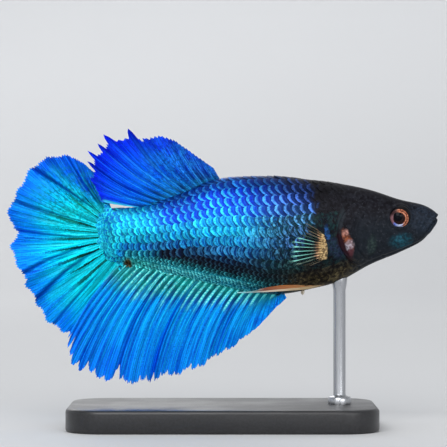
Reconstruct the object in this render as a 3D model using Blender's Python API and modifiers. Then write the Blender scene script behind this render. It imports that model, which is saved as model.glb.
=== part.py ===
"""A life-size display model of a female betta fish, swimming, held on a plain stand.

Run with: blender --background --python part.py

Sizes are in millimetres and become metres where vertices are placed. +X runs from the tail to
the snout, +Y is the fish's left side and +Z is up. The origin is the centre of the underside of
the stand, below the middle of the fish. The flesh is one lofted body that is parted with thin
cuts, and each fin is a sheet whose rays and folds come from the formulas below.
"""

import math

import bmesh
import bpy
import numpy as np
from mathutils import Matrix, Vector

MM = 0.001

# Clearances and thicknesses.
GAP = 0.3
FIN_THICKNESS = 0.5

# Cross-sections of the body from the snout to the tail end. Each row gives the place along X, the
# heights of the back and of the belly, the half width, the height at which the body is widest,
# and the roundness of the upper and the lower half, where 2 is an ellipse.
BODY_SECTIONS = np.array(
    [
        (28.0, 27.4, 27.4, 0.0, 27.4, 2.0, 2.0),  # tip of the snout
        (27.5, 28.1, 26.2, 1.05, 27.2, 2.2, 2.2),  # lips
        (25.9, 28.93, 24.2, 1.85, 26.8, 2.4, 2.1),  # nostrils
        (22.9, 29.62, 22.65, 2.75, 26.6, 2.5, 2.0),  # eyes
        (19.3, 30.8, 21.15, 3.4, 26.1, 2.4, 2.0),  # cheeks
        (15.6, 31.6, 19.15, 3.8, 25.6, 2.3, 2.1),  # rear of the gill covers
        (12.3, 32.1, 18.15, 3.95, 25.2, 2.2, 2.2),  # shoulder and pelvic fins
        (6.5, 32.62, 17.25, 3.9, 25.0, 2.1, 2.0),  # belly
        (-0.5, 32.3, 18.4, 3.15, 25.5, 1.9, 1.7),  # front of the dorsal fin
        (-5.5, 30.4, 19.6, 2.35, 25.5, 1.8, 1.6),  # middle of the dorsal fin
        (-10.0, 28.85, 20.75, 1.65, 25.2, 1.8, 1.7),  # rear of the dorsal fin
        (-13.5, 28.55, 21.4, 1.15, 25.0, 1.9, 1.9),  # peduncle
        (-15.9, 28.0, 21.9, 0.6, 25.0, 2.0, 2.0),  # end of the spine
        (-16.5, 25.0, 25.0, 0.0, 25.0, 2.0, 2.0),  # root of the tail fin
    ]
)
RINGS_PER_SECTION = 4
BODY_SIDES = 24

# Where thin cuts part the body, along X.
HEAD_CUT = 14.55
WAIST_CUT = 4.0
PEDUNCLE_CUT = -8.0

# The lower jaw is the wedge below the mouth slit, which starts at the snout and slopes backwards.
MOUTH_TIP = (28.2, 27.55)
MOUTH_SLOPE = math.radians(45)
JAW_LENGTH = 4.8
JAW_CUTTER_MARGIN = 2.0  # how far its cutter stands out past the snout
JAW_CUTTER_DEPTH = 5.0
JAW_CUTTER_WIDTH = 8.0

# Gill covers, as ovals seen from the side.
GILL_COVER_CENTRE = (17.6, 24.9)
GILL_COVER_RADII = (2.75, 3.7)
GILL_COVER_LEAN = math.radians(8)
GILL_COVER_DEPTH = 2.2  # from the midplane to the inner wall of the cover
GILL_COVER_REACH = 6.0  # how far out from the midplane its cutter goes

# Eyes.
EYE_CENTRE = (22.88, 1.85, 27.3)
EYE_RADIUS = 1.6
EYE_HALF_DEPTH = 1.2
EYE_SIDES, EYE_RINGS = 18, 10

# The egg tube just behind the pelvic fins.
EGG_TUBE_PLACE = 10.4
EGG_TUBE_TIP = 17.15
EGG_TUBE_HALF_LENGTH = 0.85
EGG_TUBE_RADIUS = 0.36
EGG_TUBE_SIDES, EGG_TUBE_RINGS = 12, 8

# Stand.
BASE_LENGTH, BASE_WIDTH, BASE_HEIGHT = 40.0, 22.0, 3.0
BASE_CORNER = 5.0
BASE_EDGE = 0.5
ROD_PLACE = 15.2
ROD_RADIUS = 0.8
ROD_SIDES = 20
ROD_TOP = 20.5  # inside the breast, where the body cuts it off

# Median fins. The root line lies inside the body. The margin joins the tips of the rays, and each
# of its points is (share across the fin from the first ray to the last, x, z). Lean is the slope
# of the first and the last ray where they leave the body, and notch is how far the fin is cut in
# between its rays, at the front and at the rear. Sway is (the share of the ray that stays in the
# midplane, how far the outer rays lie to the side, the height of the folds, how fast they follow
# each other, where they start).
DORSAL = {
    "root": ((0.1, 31.6), (-3.4, 30.4), (-7.2, 28.9)),
    "margin": (
        (0.0, -1.3, 33.7),
        (0.2, -4.5, 35.6),
        (0.42, -8.7, 37.8),
        (0.57, -12.4, 38.4),
        (0.72, -16.6, 36.2),
        (0.87, -17.0, 32.6),
        (1.0, -15.7, 29.3),
    ),
    "lean": (math.radians(58), math.radians(4)),
    "rays": 12,
    "notch": (0.03, 0.16),
    "sway": (0.0, -0.7, 0.25, 9.0, 0.0),
}
ANAL = {
    "root": ((7.8, 17.9), (-2.2, 20.1), (-12.2, 22.1)),
    "margin": (
        (0.0, 7.5, 16.4),
        (0.13, 2.7, 12.0),
        (0.27, -1.1, 9.0),
        (0.38, -4.2, 7.5),
        (0.5, -7.6, 6.8),
        (0.6, -10.6, 5.8),
        (0.75, -15.5, 6.1),
        (0.88, -19.6, 8.2),
        (1.0, -19.1, 12.1),
    ),
    "lean": (math.radians(-44), math.radians(-62)),
    "rays": 24,
    "notch": (0.02, 0.075),
    "sway": (0.0, -0.75, 0.35, 17.0, 0.0),
}
CAUDAL = {
    "root": ((-13.9, 27.6), (-15.2, 25.0), (-13.6, 22.4)),
    "margin": (
        (0.0, -17.3, 33.3),
        (0.12, -20.6, 35.3),
        (0.26, -24.6, 33.4),
        (0.4, -26.8, 29.4),
        (0.47, -27.9, 27.2),
        (0.53, -27.0, 25.5),
        (0.59, -27.8, 23.6),
        (0.7, -26.1, 20.2),
        (0.84, -24.1, 15.7),
        (0.94, -21.0, 12.7),
        (1.0, -18.6, 11.9),
    ),
    "lean": (math.radians(66), math.radians(-62)),
    "rays": 19,
    "notch": (0.035, 0.05),
    "sway": (0.5, 0.95, 0.55, 25.0, 0.6),
}
NOTCH_RISE = (0.25, 0.875)  # shares of the fin between which the notches deepen
NOTCH_SHARPNESS = 0.8
RAY_BEND = 0.45  # where along a ray it turns from its lean towards its tip
FIN_CURL = 1.5  # the power with which a fin sways from root to margin
FIN_ROWS = {"dorsal_fin": 6, "anal_fin": 6, "caudal_fin": 7}

# Pectoral fins: a round fan that stands out from the flank and points backwards.
PECTORAL_ROOT = (13.3, 3.2, 23.5)
PECTORAL_ROOT_HALF = 1.15
PECTORAL_LENGTH = 7.0
PECTORAL_SWEEP = math.radians(46)
PECTORAL_SPREAD = (math.radians(20), math.radians(-24))
PECTORAL_RAYS = 10
PECTORAL_CUP = 0.7
PECTORAL_ROUNDNESS = 0.3  # how much shorter its outer rays are
PECTORAL_NOTCH = 0.06
PECTORAL_ROWS = 4

# Pelvic fins: narrow blades that lie back along the belly. Each point is (x, y, z), half height.
PELVIC_PATH = (
    ((13.4, 0.95, 18.95), 0.25),
    ((10.8, 1.55, 18.4), 0.42),
    ((7.2, 2.05, 17.9), 0.48),
    ((4.3, 2.15, 17.7), 0.36),
    ((1.9, 2.05, 17.65), 0.12),
)
PELVIC_TOP_SIDE = 0.55  # how far its upper edge lies out to the side, for each mm of height
PELVIC_GRID = (2, 12)

# Finishes: base colour, roughness, metallic.
FINISHES = {
    "head_skin": ((0.035, 0.037, 0.045), 0.4, 0.0),
    "blue_scales": ((0.01, 0.10, 0.75), 0.3, 0.5),
    "blue_fin": ((0.0, 0.20, 0.90), 0.4, 0.2),
    "clear_fin": ((0.35, 0.55, 0.50), 0.4, 0.0),
    "pelvic_fin": ((0.60, 0.30, 0.12), 0.4, 0.0),
    "eye": ((0.45, 0.16, 0.06), 0.1, 0.3),
    "pale_flesh": ((0.75, 0.70, 0.62), 0.4, 0.0),
    "stand_black": ((0.02, 0.02, 0.022), 0.45, 0.0),
    "stand_steel": ((0.55, 0.56, 0.58), 0.3, 1.0),
}


# --- formulas of the shapes ---------------------------------------------------------------


def through(points, place):
    """The smooth curve through evenly counted points, read at place, from 0 to len(points) - 1."""
    points = np.asarray(points, float)
    place = np.clip(np.asarray(place, float), 0, len(points) - 1)
    first = np.minimum(place.astype(int), len(points) - 2)
    share = (place - first)[..., None]
    padded = np.concatenate([points[:1], points, points[-1:]])
    before, start, end, after = (padded[first + k] for k in range(4))
    return 0.5 * (
        2 * start
        + (end - before) * share
        + (2 * before - 5 * start + 4 * end - after) * share**2
        + (3 * (start - end) + after - before) * share**3
    )


def body_point(place, angle, grow=0.0):
    """A point of the body's surface. place counts sections from the snout; angle is 0 on the left
    flank and a quarter turn at the back. grow moves the surface outwards."""
    x, top, bottom, half, middle, upper, lower = through(BODY_SECTIONS, place).T
    power = 2 / np.where(np.sin(angle) >= 0, upper, lower)
    rise = np.where(np.sin(angle) >= 0, top - middle, middle - bottom) + grow
    y = (half + grow) * np.sign(np.cos(angle)) * np.abs(np.cos(angle)) ** power
    z = middle + rise * np.sign(np.sin(angle)) * np.abs(np.sin(angle)) ** power
    last = len(BODY_SECTIONS) - 1
    end_shift = grow * (np.clip(1 - place, 0, 1) - np.clip(place - last + 1, 0, 1))
    return np.stack([x + end_shift, y, z], axis=-1)


def comb(share, teeth):
    """0 at each of the teeth, spread evenly over 0 to 1, and 1 half way between them."""
    return np.abs(np.sin(math.pi * (teeth - 1) * share))


def tip_reach(fin, share):
    """How much of a ray's full length the fin reaches: notched between rays, more at the rear."""
    depth = np.interp(share, NOTCH_RISE, fin["notch"])
    return 1 - depth * comb(share, fin["rays"]) ** NOTCH_SHARPNESS


def median_fin_line(fin, share, along):
    """The x and z of a median fin's point: share runs across the rays, along from root to margin."""
    front, middle, rear = (np.array(p) for p in fin["root"])
    s = share[:, None]
    bow = 2 * middle - (front + rear) / 2
    root = front * (1 - s) ** 2 + 2 * bow * s * (1 - s) + rear * s**2
    stops = np.array([p[0] for p in fin["margin"]])
    tip = through([p[1:] for p in fin["margin"]], np.interp(share, stops, np.arange(len(stops))))
    lean = np.interp(share, (0, 1), fin["lean"])
    heading = np.stack([-np.cos(lean), np.sin(lean)], axis=-1)
    length = np.linalg.norm(tip - root, axis=-1)[:, None]
    bend = root + heading * length * RAY_BEND
    a = (along * tip_reach(fin, share))[:, None]
    return root * (1 - a) ** 2 + 2 * bend * a * (1 - a) + tip * a**2


def fin_sway(fin, share, along):
    """How far a median fin's point lies to the side."""
    still, side, height, pace, start = fin["sway"]
    edge = ((share - still) / (1 - still)) ** 2
    return along**FIN_CURL * (side * edge + height * np.sin(pace * share + start) * (1 - edge))


def median_fin_point(fin):
    def point(share, along):
        x, z = median_fin_line(fin, share, along).T
        return np.stack([x, fin_sway(fin, share, along), z], axis=-1)

    return point


def pectoral_point(side):
    """The formula of one pectoral fin. side is 1 for the left and -1 for the right."""

    def point(share, along):
        turn = np.interp(share, (0, 1), PECTORAL_SPREAD)
        edge = (2 * share - 1) ** 2
        notch = PECTORAL_NOTCH * comb(share, PECTORAL_RAYS)
        length = PECTORAL_LENGTH * (1 - PECTORAL_ROUNDNESS * edge) * (1 - notch)
        out = along * length * np.cos(turn)
        lift = PECTORAL_ROOT_HALF * (1 - 2 * share) + along * length * np.sin(turn)
        cup = PECTORAL_CUP * along**2 * edge
        x = PECTORAL_ROOT[0] - out * math.cos(PECTORAL_SWEEP) - cup
        y = PECTORAL_ROOT[1] + out * math.sin(PECTORAL_SWEEP) - cup
        return np.stack([x, side * y, PECTORAL_ROOT[2] + lift], axis=-1)

    return point


def pelvic_point(side):
    """The formula of one pelvic fin. share runs over the blade's height, along from root to tip."""

    def point(share, along):
        path = through([p for p, _ in PELVIC_PATH], along * (len(PELVIC_PATH) - 1))
        half = through([(h,) for _, h in PELVIC_PATH], along * (len(PELVIC_PATH) - 1))[..., 0]
        rise = (2 * share - 1) * half
        y = path[..., 1] + PELVIC_TOP_SIDE * rise
        return np.stack([path[..., 0], side * y, path[..., 2] + rise], axis=-1)

    return point


# --- Blender helpers ------------------------------------------------------------------------


def collection(name):
    made = bpy.data.collections.new(name)
    bpy.context.scene.collection.children.link(made)
    return made


def object_of(bm, name, where, finish=None):
    """Makes an object of a bmesh, in millimetres, and gives it a finish."""
    bmesh.ops.scale(bm, vec=(MM, MM, MM), verts=bm.verts)
    bmesh.ops.recalc_face_normals(bm, faces=bm.faces)
    mesh = bpy.data.meshes.new(name)
    bm.to_mesh(mesh)
    bm.free()
    mesh.shade_smooth()
    made = bpy.data.objects.new(name, mesh)
    where.objects.link(made)
    if finish:
        mesh.materials.append(FINISH_MATERIALS[finish])
    return made


def helper(made):
    """Marks an object as a cutter, which is no part of the model."""
    made.hide_render = True
    made.display_type = "WIRE"
    return made


def material(name):
    colour, roughness, metallic = FINISHES[name]
    made = bpy.data.materials.new(name)
    made.use_nodes = True
    shader = made.node_tree.nodes["Principled BSDF"]
    shader.inputs["Base Color"].default_value = (*colour, 1)
    shader.inputs["Roughness"].default_value = roughness
    shader.inputs["Metallic"].default_value = metallic
    made.diffuse_color = (*colour, 1)
    return made


def boolean(made, cutter, operation="DIFFERENCE"):
    modifier = made.modifiers.new(f"{operation.lower()} {cutter.name}", "BOOLEAN")
    modifier.operation = operation
    modifier.object = cutter
    modifier.solver = "EXACT"


def placed(bm, rule):
    """Moves every vertex of a primitive to the point that rule gives for its own place."""
    bm.verts.ensure_lookup_table()
    before = np.array([v.co for v in bm.verts])
    for vertex, point in zip(bm.verts, rule(before)):
        vertex.co = point


def body_bmesh(grow=0.0):
    """The whole body, from a sphere whose rings become the sections from snout to tail."""
    last = len(BODY_SECTIONS) - 1
    bm = bmesh.new()
    bmesh.ops.create_uvsphere(bm, u_segments=BODY_SIDES, v_segments=last * RINGS_PER_SECTION, radius=1)

    def rule(unit):
        place = np.arccos(np.clip(unit[:, 2], -1, 1)) / math.pi * last
        angle = np.arctan2(unit[:, 1], unit[:, 0])
        return body_point(place, angle, grow)

    placed(bm, rule)
    return bm


def keep_between(bm, low, high):
    """Cuts a closed body with planes across X and closes it again."""
    for place, normal in ((low, -1), (high, 1)):
        if place is None:
            continue
        cut = bmesh.ops.bisect_plane(
            bm,
            geom=[*bm.verts, *bm.edges, *bm.faces],
            plane_co=(place, 0, 0),
            plane_no=(normal, 0, 0),
            clear_outer=True,
        )
        edges = [e for e in cut["geom_cut"] if isinstance(e, bmesh.types.BMEdge)]
        bmesh.ops.holes_fill(bm, edges=edges)
    bmesh.ops.triangulate(bm, faces=[f for f in bm.faces if len(f.verts) > 4])
    return bm


def box_cutter(name, size, matrix):
    bm = bmesh.new()
    bmesh.ops.create_cube(bm, size=1)
    bmesh.ops.scale(bm, vec=size, verts=bm.verts)
    bmesh.ops.transform(bm, matrix=matrix, verts=bm.verts)
    return helper(object_of(bm, name, cutters))


def ellipsoid(name, centre, radii, where, finish=None, sides=EYE_SIDES, rings=EYE_RINGS):
    """An ellipsoid whose poles lie on the Y axis."""
    bm = bmesh.new()
    bmesh.ops.create_uvsphere(bm, u_segments=sides, v_segments=rings, radius=1)
    bmesh.ops.rotate(bm, matrix=Matrix.Rotation(math.pi / 2, 3, "X"), verts=bm.verts)
    bmesh.ops.scale(bm, vec=radii, verts=bm.verts)
    bmesh.ops.translate(bm, vec=centre, verts=bm.verts)
    return object_of(bm, name, where, finish)


# --- parts ----------------------------------------------------------------------------------


def gill_cover_cutter(name, side, grow):
    """An oval prism that reaches from the gill chamber out past the flank."""
    depth = GILL_COVER_REACH - GILL_COVER_DEPTH + grow
    bm = bmesh.new()
    bmesh.ops.create_cone(bm, cap_ends=True, segments=32, radius1=1, radius2=1, depth=depth)
    bmesh.ops.rotate(bm, matrix=Matrix.Rotation(math.pi / 2, 3, "X"), verts=bm.verts)
    long, high = GILL_COVER_RADII
    bmesh.ops.scale(bm, vec=(long + grow, 1, high + grow), verts=bm.verts)
    bmesh.ops.rotate(bm, matrix=Matrix.Rotation(GILL_COVER_LEAN, 3, "Y"), verts=bm.verts)
    x, z = GILL_COVER_CENTRE
    bmesh.ops.translate(bm, vec=(x, side * (GILL_COVER_REACH - depth / 2), z), verts=bm.verts)
    return helper(object_of(bm, name, cutters))


def jaw_cutter(name, grow):
    """A slab below the mouth slit, from the snout back to the jaw joint."""
    length = JAW_LENGTH + JAW_CUTTER_MARGIN + grow
    depth = JAW_CUTTER_DEPTH + grow
    back = Vector((-math.cos(MOUTH_SLOPE), 0, -math.sin(MOUTH_SLOPE)))
    down = Vector((math.sin(MOUTH_SLOPE), 0, -math.cos(MOUTH_SLOPE)))
    tip = Vector((MOUTH_TIP[0], 0, MOUTH_TIP[1]))
    centre = tip + back * (length / 2 - JAW_CUTTER_MARGIN) + down * (depth / 2 - grow)
    turn = Matrix.Rotation(-MOUTH_SLOPE, 4, "Y")
    return box_cutter(name, (length, JAW_CUTTER_WIDTH, depth), Matrix.Translation(centre) @ turn)


def make_head():
    """Head, lower jaw, gill covers and eyes."""
    head = object_of(keep_between(body_bmesh(), HEAD_CUT, None), "head", parts, "head_skin")
    boolean(head, jaw_cutter("jaw_room", GAP))
    jaw = object_of(keep_between(body_bmesh(), HEAD_CUT, None), "lower_jaw", parts, "head_skin")
    boolean(jaw, jaw_cutter("jaw_wedge", 0.0), "INTERSECT")
    for side, letter in ((1, "L"), (-1, "R")):
        cover = object_of(
            keep_between(body_bmesh(), HEAD_CUT, None), f"gill_cover_{letter}", parts, "head_skin"
        )
        boolean(cover, gill_cover_cutter(f"gill_oval_{letter}", side, 0.0), "INTERSECT")
        boolean(head, gill_cover_cutter(f"gill_room_{letter}", side, GAP))
        x, y, z = EYE_CENTRE
        radii = (EYE_RADIUS, EYE_HALF_DEPTH, EYE_RADIUS)
        ellipsoid(f"eye_{letter}", (x, side * y, z), radii, parts, "eye")
        room = tuple(r + GAP for r in radii)
        boolean(head, helper(ellipsoid(f"eye_room_{letter}", (x, side * y, z), room, cutters)))


def make_trunk():
    """Three lengths of the body behind the head."""
    half = GAP / 2
    for name, low, high in (
        ("trunk_front", WAIST_CUT + half, HEAD_CUT - GAP),
        ("trunk_rear", PEDUNCLE_CUT + half, WAIST_CUT - half),
        ("peduncle", None, PEDUNCLE_CUT - half),
    ):
        object_of(keep_between(body_bmesh(), low, high), name, parts, "blue_scales")


def make_fin(name, point, columns, rows, finish):
    """A fin sheet from a grid, given its thickness and trimmed where it enters the body."""
    bm = bmesh.new()
    bmesh.ops.create_grid(bm, x_segments=columns, y_segments=rows, size=1)
    placed(bm, lambda flat: point((flat[:, 0] + 1) / 2, (flat[:, 1] + 1) / 2))
    fin = object_of(bm, name, parts, finish)
    sheet = fin.modifiers.new("thickness", "SOLIDIFY")
    sheet.thickness = FIN_THICKNESS * MM
    sheet.offset = 0
    boolean(fin, body_room)


def make_fins():
    for name, fin in (("dorsal_fin", DORSAL), ("anal_fin", ANAL), ("caudal_fin", CAUDAL)):
        columns = 2 * (fin["rays"] - 1)
        make_fin(name, median_fin_point(fin), columns, FIN_ROWS[name], "blue_fin")
    for side, letter in ((1, "L"), (-1, "R")):
        columns = 2 * (PECTORAL_RAYS - 1)
        make_fin(f"pectoral_fin_{letter}", pectoral_point(side), columns, PECTORAL_ROWS, "clear_fin")
        make_fin(f"pelvic_fin_{letter}", pelvic_point(side), *PELVIC_GRID, "pelvic_fin")


def make_egg_tube():
    tube = ellipsoid(
        "egg_tube",
        (EGG_TUBE_PLACE, 0, EGG_TUBE_TIP + EGG_TUBE_HALF_LENGTH),
        (EGG_TUBE_RADIUS, EGG_TUBE_RADIUS, EGG_TUBE_HALF_LENGTH),
        parts,
        "pale_flesh",
        EGG_TUBE_SIDES,
        EGG_TUBE_RINGS,
    )
    boolean(tube, body_room)


def make_base():
    """A plate with round corners and a softened upper edge."""
    bm = bmesh.new()
    bmesh.ops.create_cube(bm, size=1)
    bmesh.ops.scale(bm, vec=(BASE_LENGTH, BASE_WIDTH, BASE_HEIGHT), verts=bm.verts)
    bmesh.ops.translate(bm, vec=(0, 0, BASE_HEIGHT / 2), verts=bm.verts)
    upright = [e for e in bm.edges if abs(e.verts[0].co.z - e.verts[1].co.z) > BASE_HEIGHT / 2]
    bmesh.ops.bevel(bm, geom=upright, offset=BASE_CORNER, segments=6, profile=0.5, affect="EDGES")
    rim = [e for e in bm.edges if all(v.co.z > BASE_HEIGHT - BASE_EDGE for v in e.verts)]
    bmesh.ops.bevel(bm, geom=rim, offset=BASE_EDGE, segments=2, profile=0.5, affect="EDGES")
    object_of(bm, "stand_base", parts, "stand_black")


def make_rod():
    """A round rod from the base up to the breast, which it meets face to face."""
    low = BASE_HEIGHT + GAP
    bm = bmesh.new()
    bmesh.ops.create_cone(
        bm,
        cap_ends=True,
        segments=ROD_SIDES,
        radius1=ROD_RADIUS,
        radius2=ROD_RADIUS,
        depth=ROD_TOP - low,
    )
    bmesh.ops.translate(bm, vec=(ROD_PLACE, 0, (low + ROD_TOP) / 2), verts=bm.verts)
    boolean(object_of(bm, "stand_rod", parts, "stand_steel"), body_room)


for old in list(bpy.data.objects):
    bpy.data.objects.remove(old)
FINISH_MATERIALS = {name: material(name) for name in FINISHES}
parts = collection("betta_fish")
cutters = collection("cutters")
body_room = helper(object_of(body_bmesh(GAP), "body_room", cutters))
make_head()
make_trunk()
make_fins()
make_egg_tube()
make_base()
make_rod()
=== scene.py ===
"""The looks of a life-size betta fish on its stand, laid out as a Blender add-on and run as a script.

The solids of the frame give the places. Lengths in this file are in millimetres and become metres
where vertices are placed. +X runs to the snout, +Y is the fish's left side and +Z is up.
"""

import math

import bpy
import numpy as np
from bpy.props import FloatProperty, FloatVectorProperty, IntProperty, PointerProperty
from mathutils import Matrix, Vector


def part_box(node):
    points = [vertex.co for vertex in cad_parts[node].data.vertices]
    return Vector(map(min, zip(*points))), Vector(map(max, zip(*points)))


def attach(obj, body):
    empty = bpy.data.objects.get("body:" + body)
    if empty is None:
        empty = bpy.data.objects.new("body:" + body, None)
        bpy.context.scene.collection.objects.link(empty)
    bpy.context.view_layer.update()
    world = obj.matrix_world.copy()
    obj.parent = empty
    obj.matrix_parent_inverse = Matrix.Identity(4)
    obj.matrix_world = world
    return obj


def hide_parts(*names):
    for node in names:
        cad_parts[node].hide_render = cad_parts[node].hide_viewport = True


bl_info = {
    "name": "Betta Fish Model",
    "version": (1, 0, 0),
    "blender": (4, 5, 0),
    "location": "3D View > Sidebar > Betta",
    "description": "Builds the skin, scales, fins and stand of a display model of a betta fish",
    "category": "Object",
}

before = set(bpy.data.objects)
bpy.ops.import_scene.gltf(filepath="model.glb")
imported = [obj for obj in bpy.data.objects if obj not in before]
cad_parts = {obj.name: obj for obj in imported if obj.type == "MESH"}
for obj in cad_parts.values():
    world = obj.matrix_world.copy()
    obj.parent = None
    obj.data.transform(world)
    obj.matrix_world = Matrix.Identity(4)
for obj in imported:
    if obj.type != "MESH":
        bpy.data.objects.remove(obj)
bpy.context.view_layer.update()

MM = 0.001
SIDES = ((1, "L"), (-1, "R"))


def rgb(red, green, blue):
    """A colour given in steps of 255, as the linear values that shaders use."""
    steps = np.array((red, green, blue)) / 255
    linear = np.where(steps < 0.04045, steps / 12.92, ((steps + 0.055) / 1.055) ** 2.4)
    return tuple(float(value) for value in linear)


def stops(*given):
    """The stops of a ramp, each given as its place and its colour in steps of 255."""
    return tuple((place, rgb(*colour)) for place, *colour in given)


def node_box(name):
    """A node's lowest and highest corner in millimetres."""
    low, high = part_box(name)
    return np.array(low) / MM, np.array(high) / MM


def sizes():
    return bpy.context.scene.betta_sizes


def colours():
    return bpy.context.scene.betta_colours


# --- the body's shape -------------------------------------------------------

# From the snout to the tail end: the place along X, the heights of the back and of the belly, the
# half width, the height of the widest point, and the roundness of the upper and the lower half.
BODY_SECTIONS = np.array(
    [
        (28.0, 27.4, 27.4, 0.0, 27.4, 2.0, 2.0),
        (27.5, 28.1, 26.2, 1.05, 27.2, 2.2, 2.2),
        (25.9, 28.93, 24.2, 1.85, 26.8, 2.4, 2.1),
        (22.9, 29.62, 22.65, 2.75, 26.6, 2.5, 2.0),
        (19.3, 30.8, 21.15, 3.4, 26.1, 2.4, 2.0),
        (15.6, 31.6, 19.15, 3.8, 25.6, 2.3, 2.1),
        (12.3, 32.1, 18.15, 3.95, 25.2, 2.2, 2.2),
        (6.5, 32.62, 17.25, 3.9, 25.0, 2.1, 2.0),
        (-0.5, 32.3, 18.4, 3.15, 25.5, 1.9, 1.7),
        (-5.5, 30.4, 19.6, 2.35, 25.5, 1.8, 1.6),
        (-10.0, 28.85, 20.75, 1.65, 25.2, 1.8, 1.7),
        (-13.5, 28.55, 21.4, 1.15, 25.0, 1.9, 1.9),
        (-15.3, 28.1, 21.9, 0.5, 25.0, 2.0, 2.0),
        (-15.9, 25.0, 25.0, 0.0, 25.0, 2.0, 2.0),
    ]
)
LAST = len(BODY_SECTIONS) - 1


def through(points, place):
    """The smooth curve through evenly counted points, read at place, from 0 to len(points) - 1."""
    points = np.asarray(points, float)
    place = np.clip(np.asarray(place, float), 0, len(points) - 1)
    first = np.minimum(place.astype(int), len(points) - 2)
    share = (place - first)[..., None]
    padded = np.concatenate([points[:1], points, points[-1:]])
    before, start, end, after = (padded[first + k] for k in range(4))
    return 0.5 * (
        2 * start
        + (end - before) * share
        + (2 * before - 5 * start + 4 * end - after) * share**2
        + (3 * (start - end) + after - before) * share**3
    )


def section_point(place, angle):
    """A point of the left half of the body's surface; a quarter turn of angle is the back."""
    x, top, bottom, half, middle, upper, lower = np.moveaxis(through(BODY_SECTIONS, place), -1, 0)
    above = angle >= 0
    power = 2 / np.where(above, upper, lower)
    rise = np.where(above, top - middle, middle - bottom)
    y = half * np.abs(np.cos(angle)) ** power
    z = middle + rise * np.sign(angle) * np.abs(np.sin(angle)) ** power
    return np.stack([x, y, z], axis=-1)


# Tables that turn a share of the way round a section, from the back down to the belly, into the
# angle there, so that points are evenly spaced over the surface.
TABLE_STEPS = 40  # from each section to the next
TABLE_PLACES = np.linspace(0, LAST, TABLE_STEPS * LAST + 1)
TABLE_SHARES = np.linspace(0, 1, 241)


def girth_tables():
    """Half the way round the body at each place of the table, and the angles at its shares."""
    angles = np.linspace(math.pi / 2, -math.pi / 2, 361)
    rings = section_point(TABLE_PLACES[:, None] + 0 * angles, angles + 0 * TABLE_PLACES[:, None])
    steps = np.linalg.norm(np.diff(rings, axis=1), axis=-1)
    arcs = np.concatenate([np.zeros((len(rings), 1)), np.cumsum(steps, axis=1)], axis=1)
    return arcs[:, -1], np.array([np.interp(TABLE_SHARES * arc[-1], arc, angles) for arc in arcs])


GIRTHS, ANGLE_TABLE = girth_tables()
TABLE_X = through(BODY_SECTIONS, TABLE_PLACES)[:, 0]


def place_at(x):
    return np.interp(-np.asarray(x, float), -TABLE_X, TABLE_PLACES)


def girth_at(x):
    """Half the way round the body at x, in millimetres."""
    return np.interp(-np.asarray(x, float), -TABLE_X, GIRTHS)


def skin_point(place, share):
    """A point of the left half at a share of the way from the back down to the belly."""
    place, share = np.clip(place, 0, LAST), np.clip(share, 0, 1)
    i, j = place * TABLE_STEPS, share * (len(TABLE_SHARES) - 1)
    i0 = np.minimum(i.astype(int), len(TABLE_PLACES) - 2)
    j0 = np.minimum(j.astype(int), len(TABLE_SHARES) - 2)
    u, w = i - i0, j - j0
    near, far = ((1 - w) * ANGLE_TABLE[k, j0] + w * ANGLE_TABLE[k, j0 + 1] for k in (i0, i0 + 1))
    return section_point(place, (1 - u) * near + u * far)


def surface(place, round_):
    """Points and outward normals of the surface. round_ is 0 along the back, 1 along the belly on
    the left side and -1 along the belly on the right side."""
    side, share = np.where(round_ < 0, -1.0, 1.0), np.abs(round_)
    step, turn = 0.03, 0.006
    ahead, behind = np.minimum(place + step, LAST), np.maximum(place - step, 0)
    below, above = np.minimum(share + turn, 1), np.maximum(share - turn, 0)
    lengthwise = skin_point(ahead, share) - skin_point(behind, share)
    across = skin_point(place, below) - skin_point(place, above)
    normal = -np.cross(lengthwise, across)
    normal /= np.maximum(np.linalg.norm(normal, axis=-1), 1e-9)[..., None]
    found = skin_point(place, share)
    found[..., 1] *= side
    normal[..., 1] *= side
    return found, normal


def smooth(value, low, high):
    """0 up to low, 1 from high on, and a soft rise between them. high may be below low."""
    t = np.clip((value - low) / (high - low), 0, 1)
    return t * t * (3 - 2 * t)


def bell(value, width):
    return np.exp(-((value / width) ** 2))


# --- making pieces ----------------------------------------------------------


def activate(piece):
    bpy.ops.object.select_all(action="DESELECT")
    piece.select_set(True)
    bpy.context.view_layer.objects.active = piece


def primitive(operator, name, **settings):
    """Adds a primitive with nothing else selected, and names it."""
    bpy.ops.object.select_all(action="DESELECT")
    operator(**settings)
    made = bpy.context.active_object
    made.name = made.data.name = name
    return made


def unit_ball(name, segments, rings, **settings):
    """A ball of radius 1, to be stretched into shape."""
    add = bpy.ops.mesh.primitive_uv_sphere_add
    return primitive(add, name, segments=segments, ring_count=rings, radius=1, **settings)


def points_of(piece):
    flat = np.empty(3 * len(piece.data.vertices))
    piece.data.vertices.foreach_get("co", flat)
    return flat.reshape(-1, 3)


def put_points(piece, points):
    """Moves a piece's vertices to points that are given in millimetres."""
    piece.data.vertices.foreach_set("co", (points * MM).ravel())
    piece.data.update()


def put_attribute(piece, name, values):
    layer = piece.data.attributes.new(name, "FLOAT", "POINT")
    layer.data.foreach_set("value", np.asarray(values, np.float32).ravel())


def put_uv(piece, name, values):
    """Gives a piece a UV map from one pair of values for each vertex."""
    layer = piece.data.uv_layers.new(name=name, do_init=False)
    corners = np.empty(len(piece.data.loops), np.int32)
    piece.data.loops.foreach_get("vertex_index", corners)
    layer.uv.foreach_set("vector", np.asarray(values, np.float32)[corners].ravel())


def use_modifier(piece, kind, **settings):
    """Adds a modifier with its settings and applies it."""
    modifier = piece.modifiers.new(kind.title(), kind)
    for key, value in settings.items():
        setattr(modifier, key, value)
    activate(piece)
    bpy.ops.object.modifier_apply(modifier=modifier.name)


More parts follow.
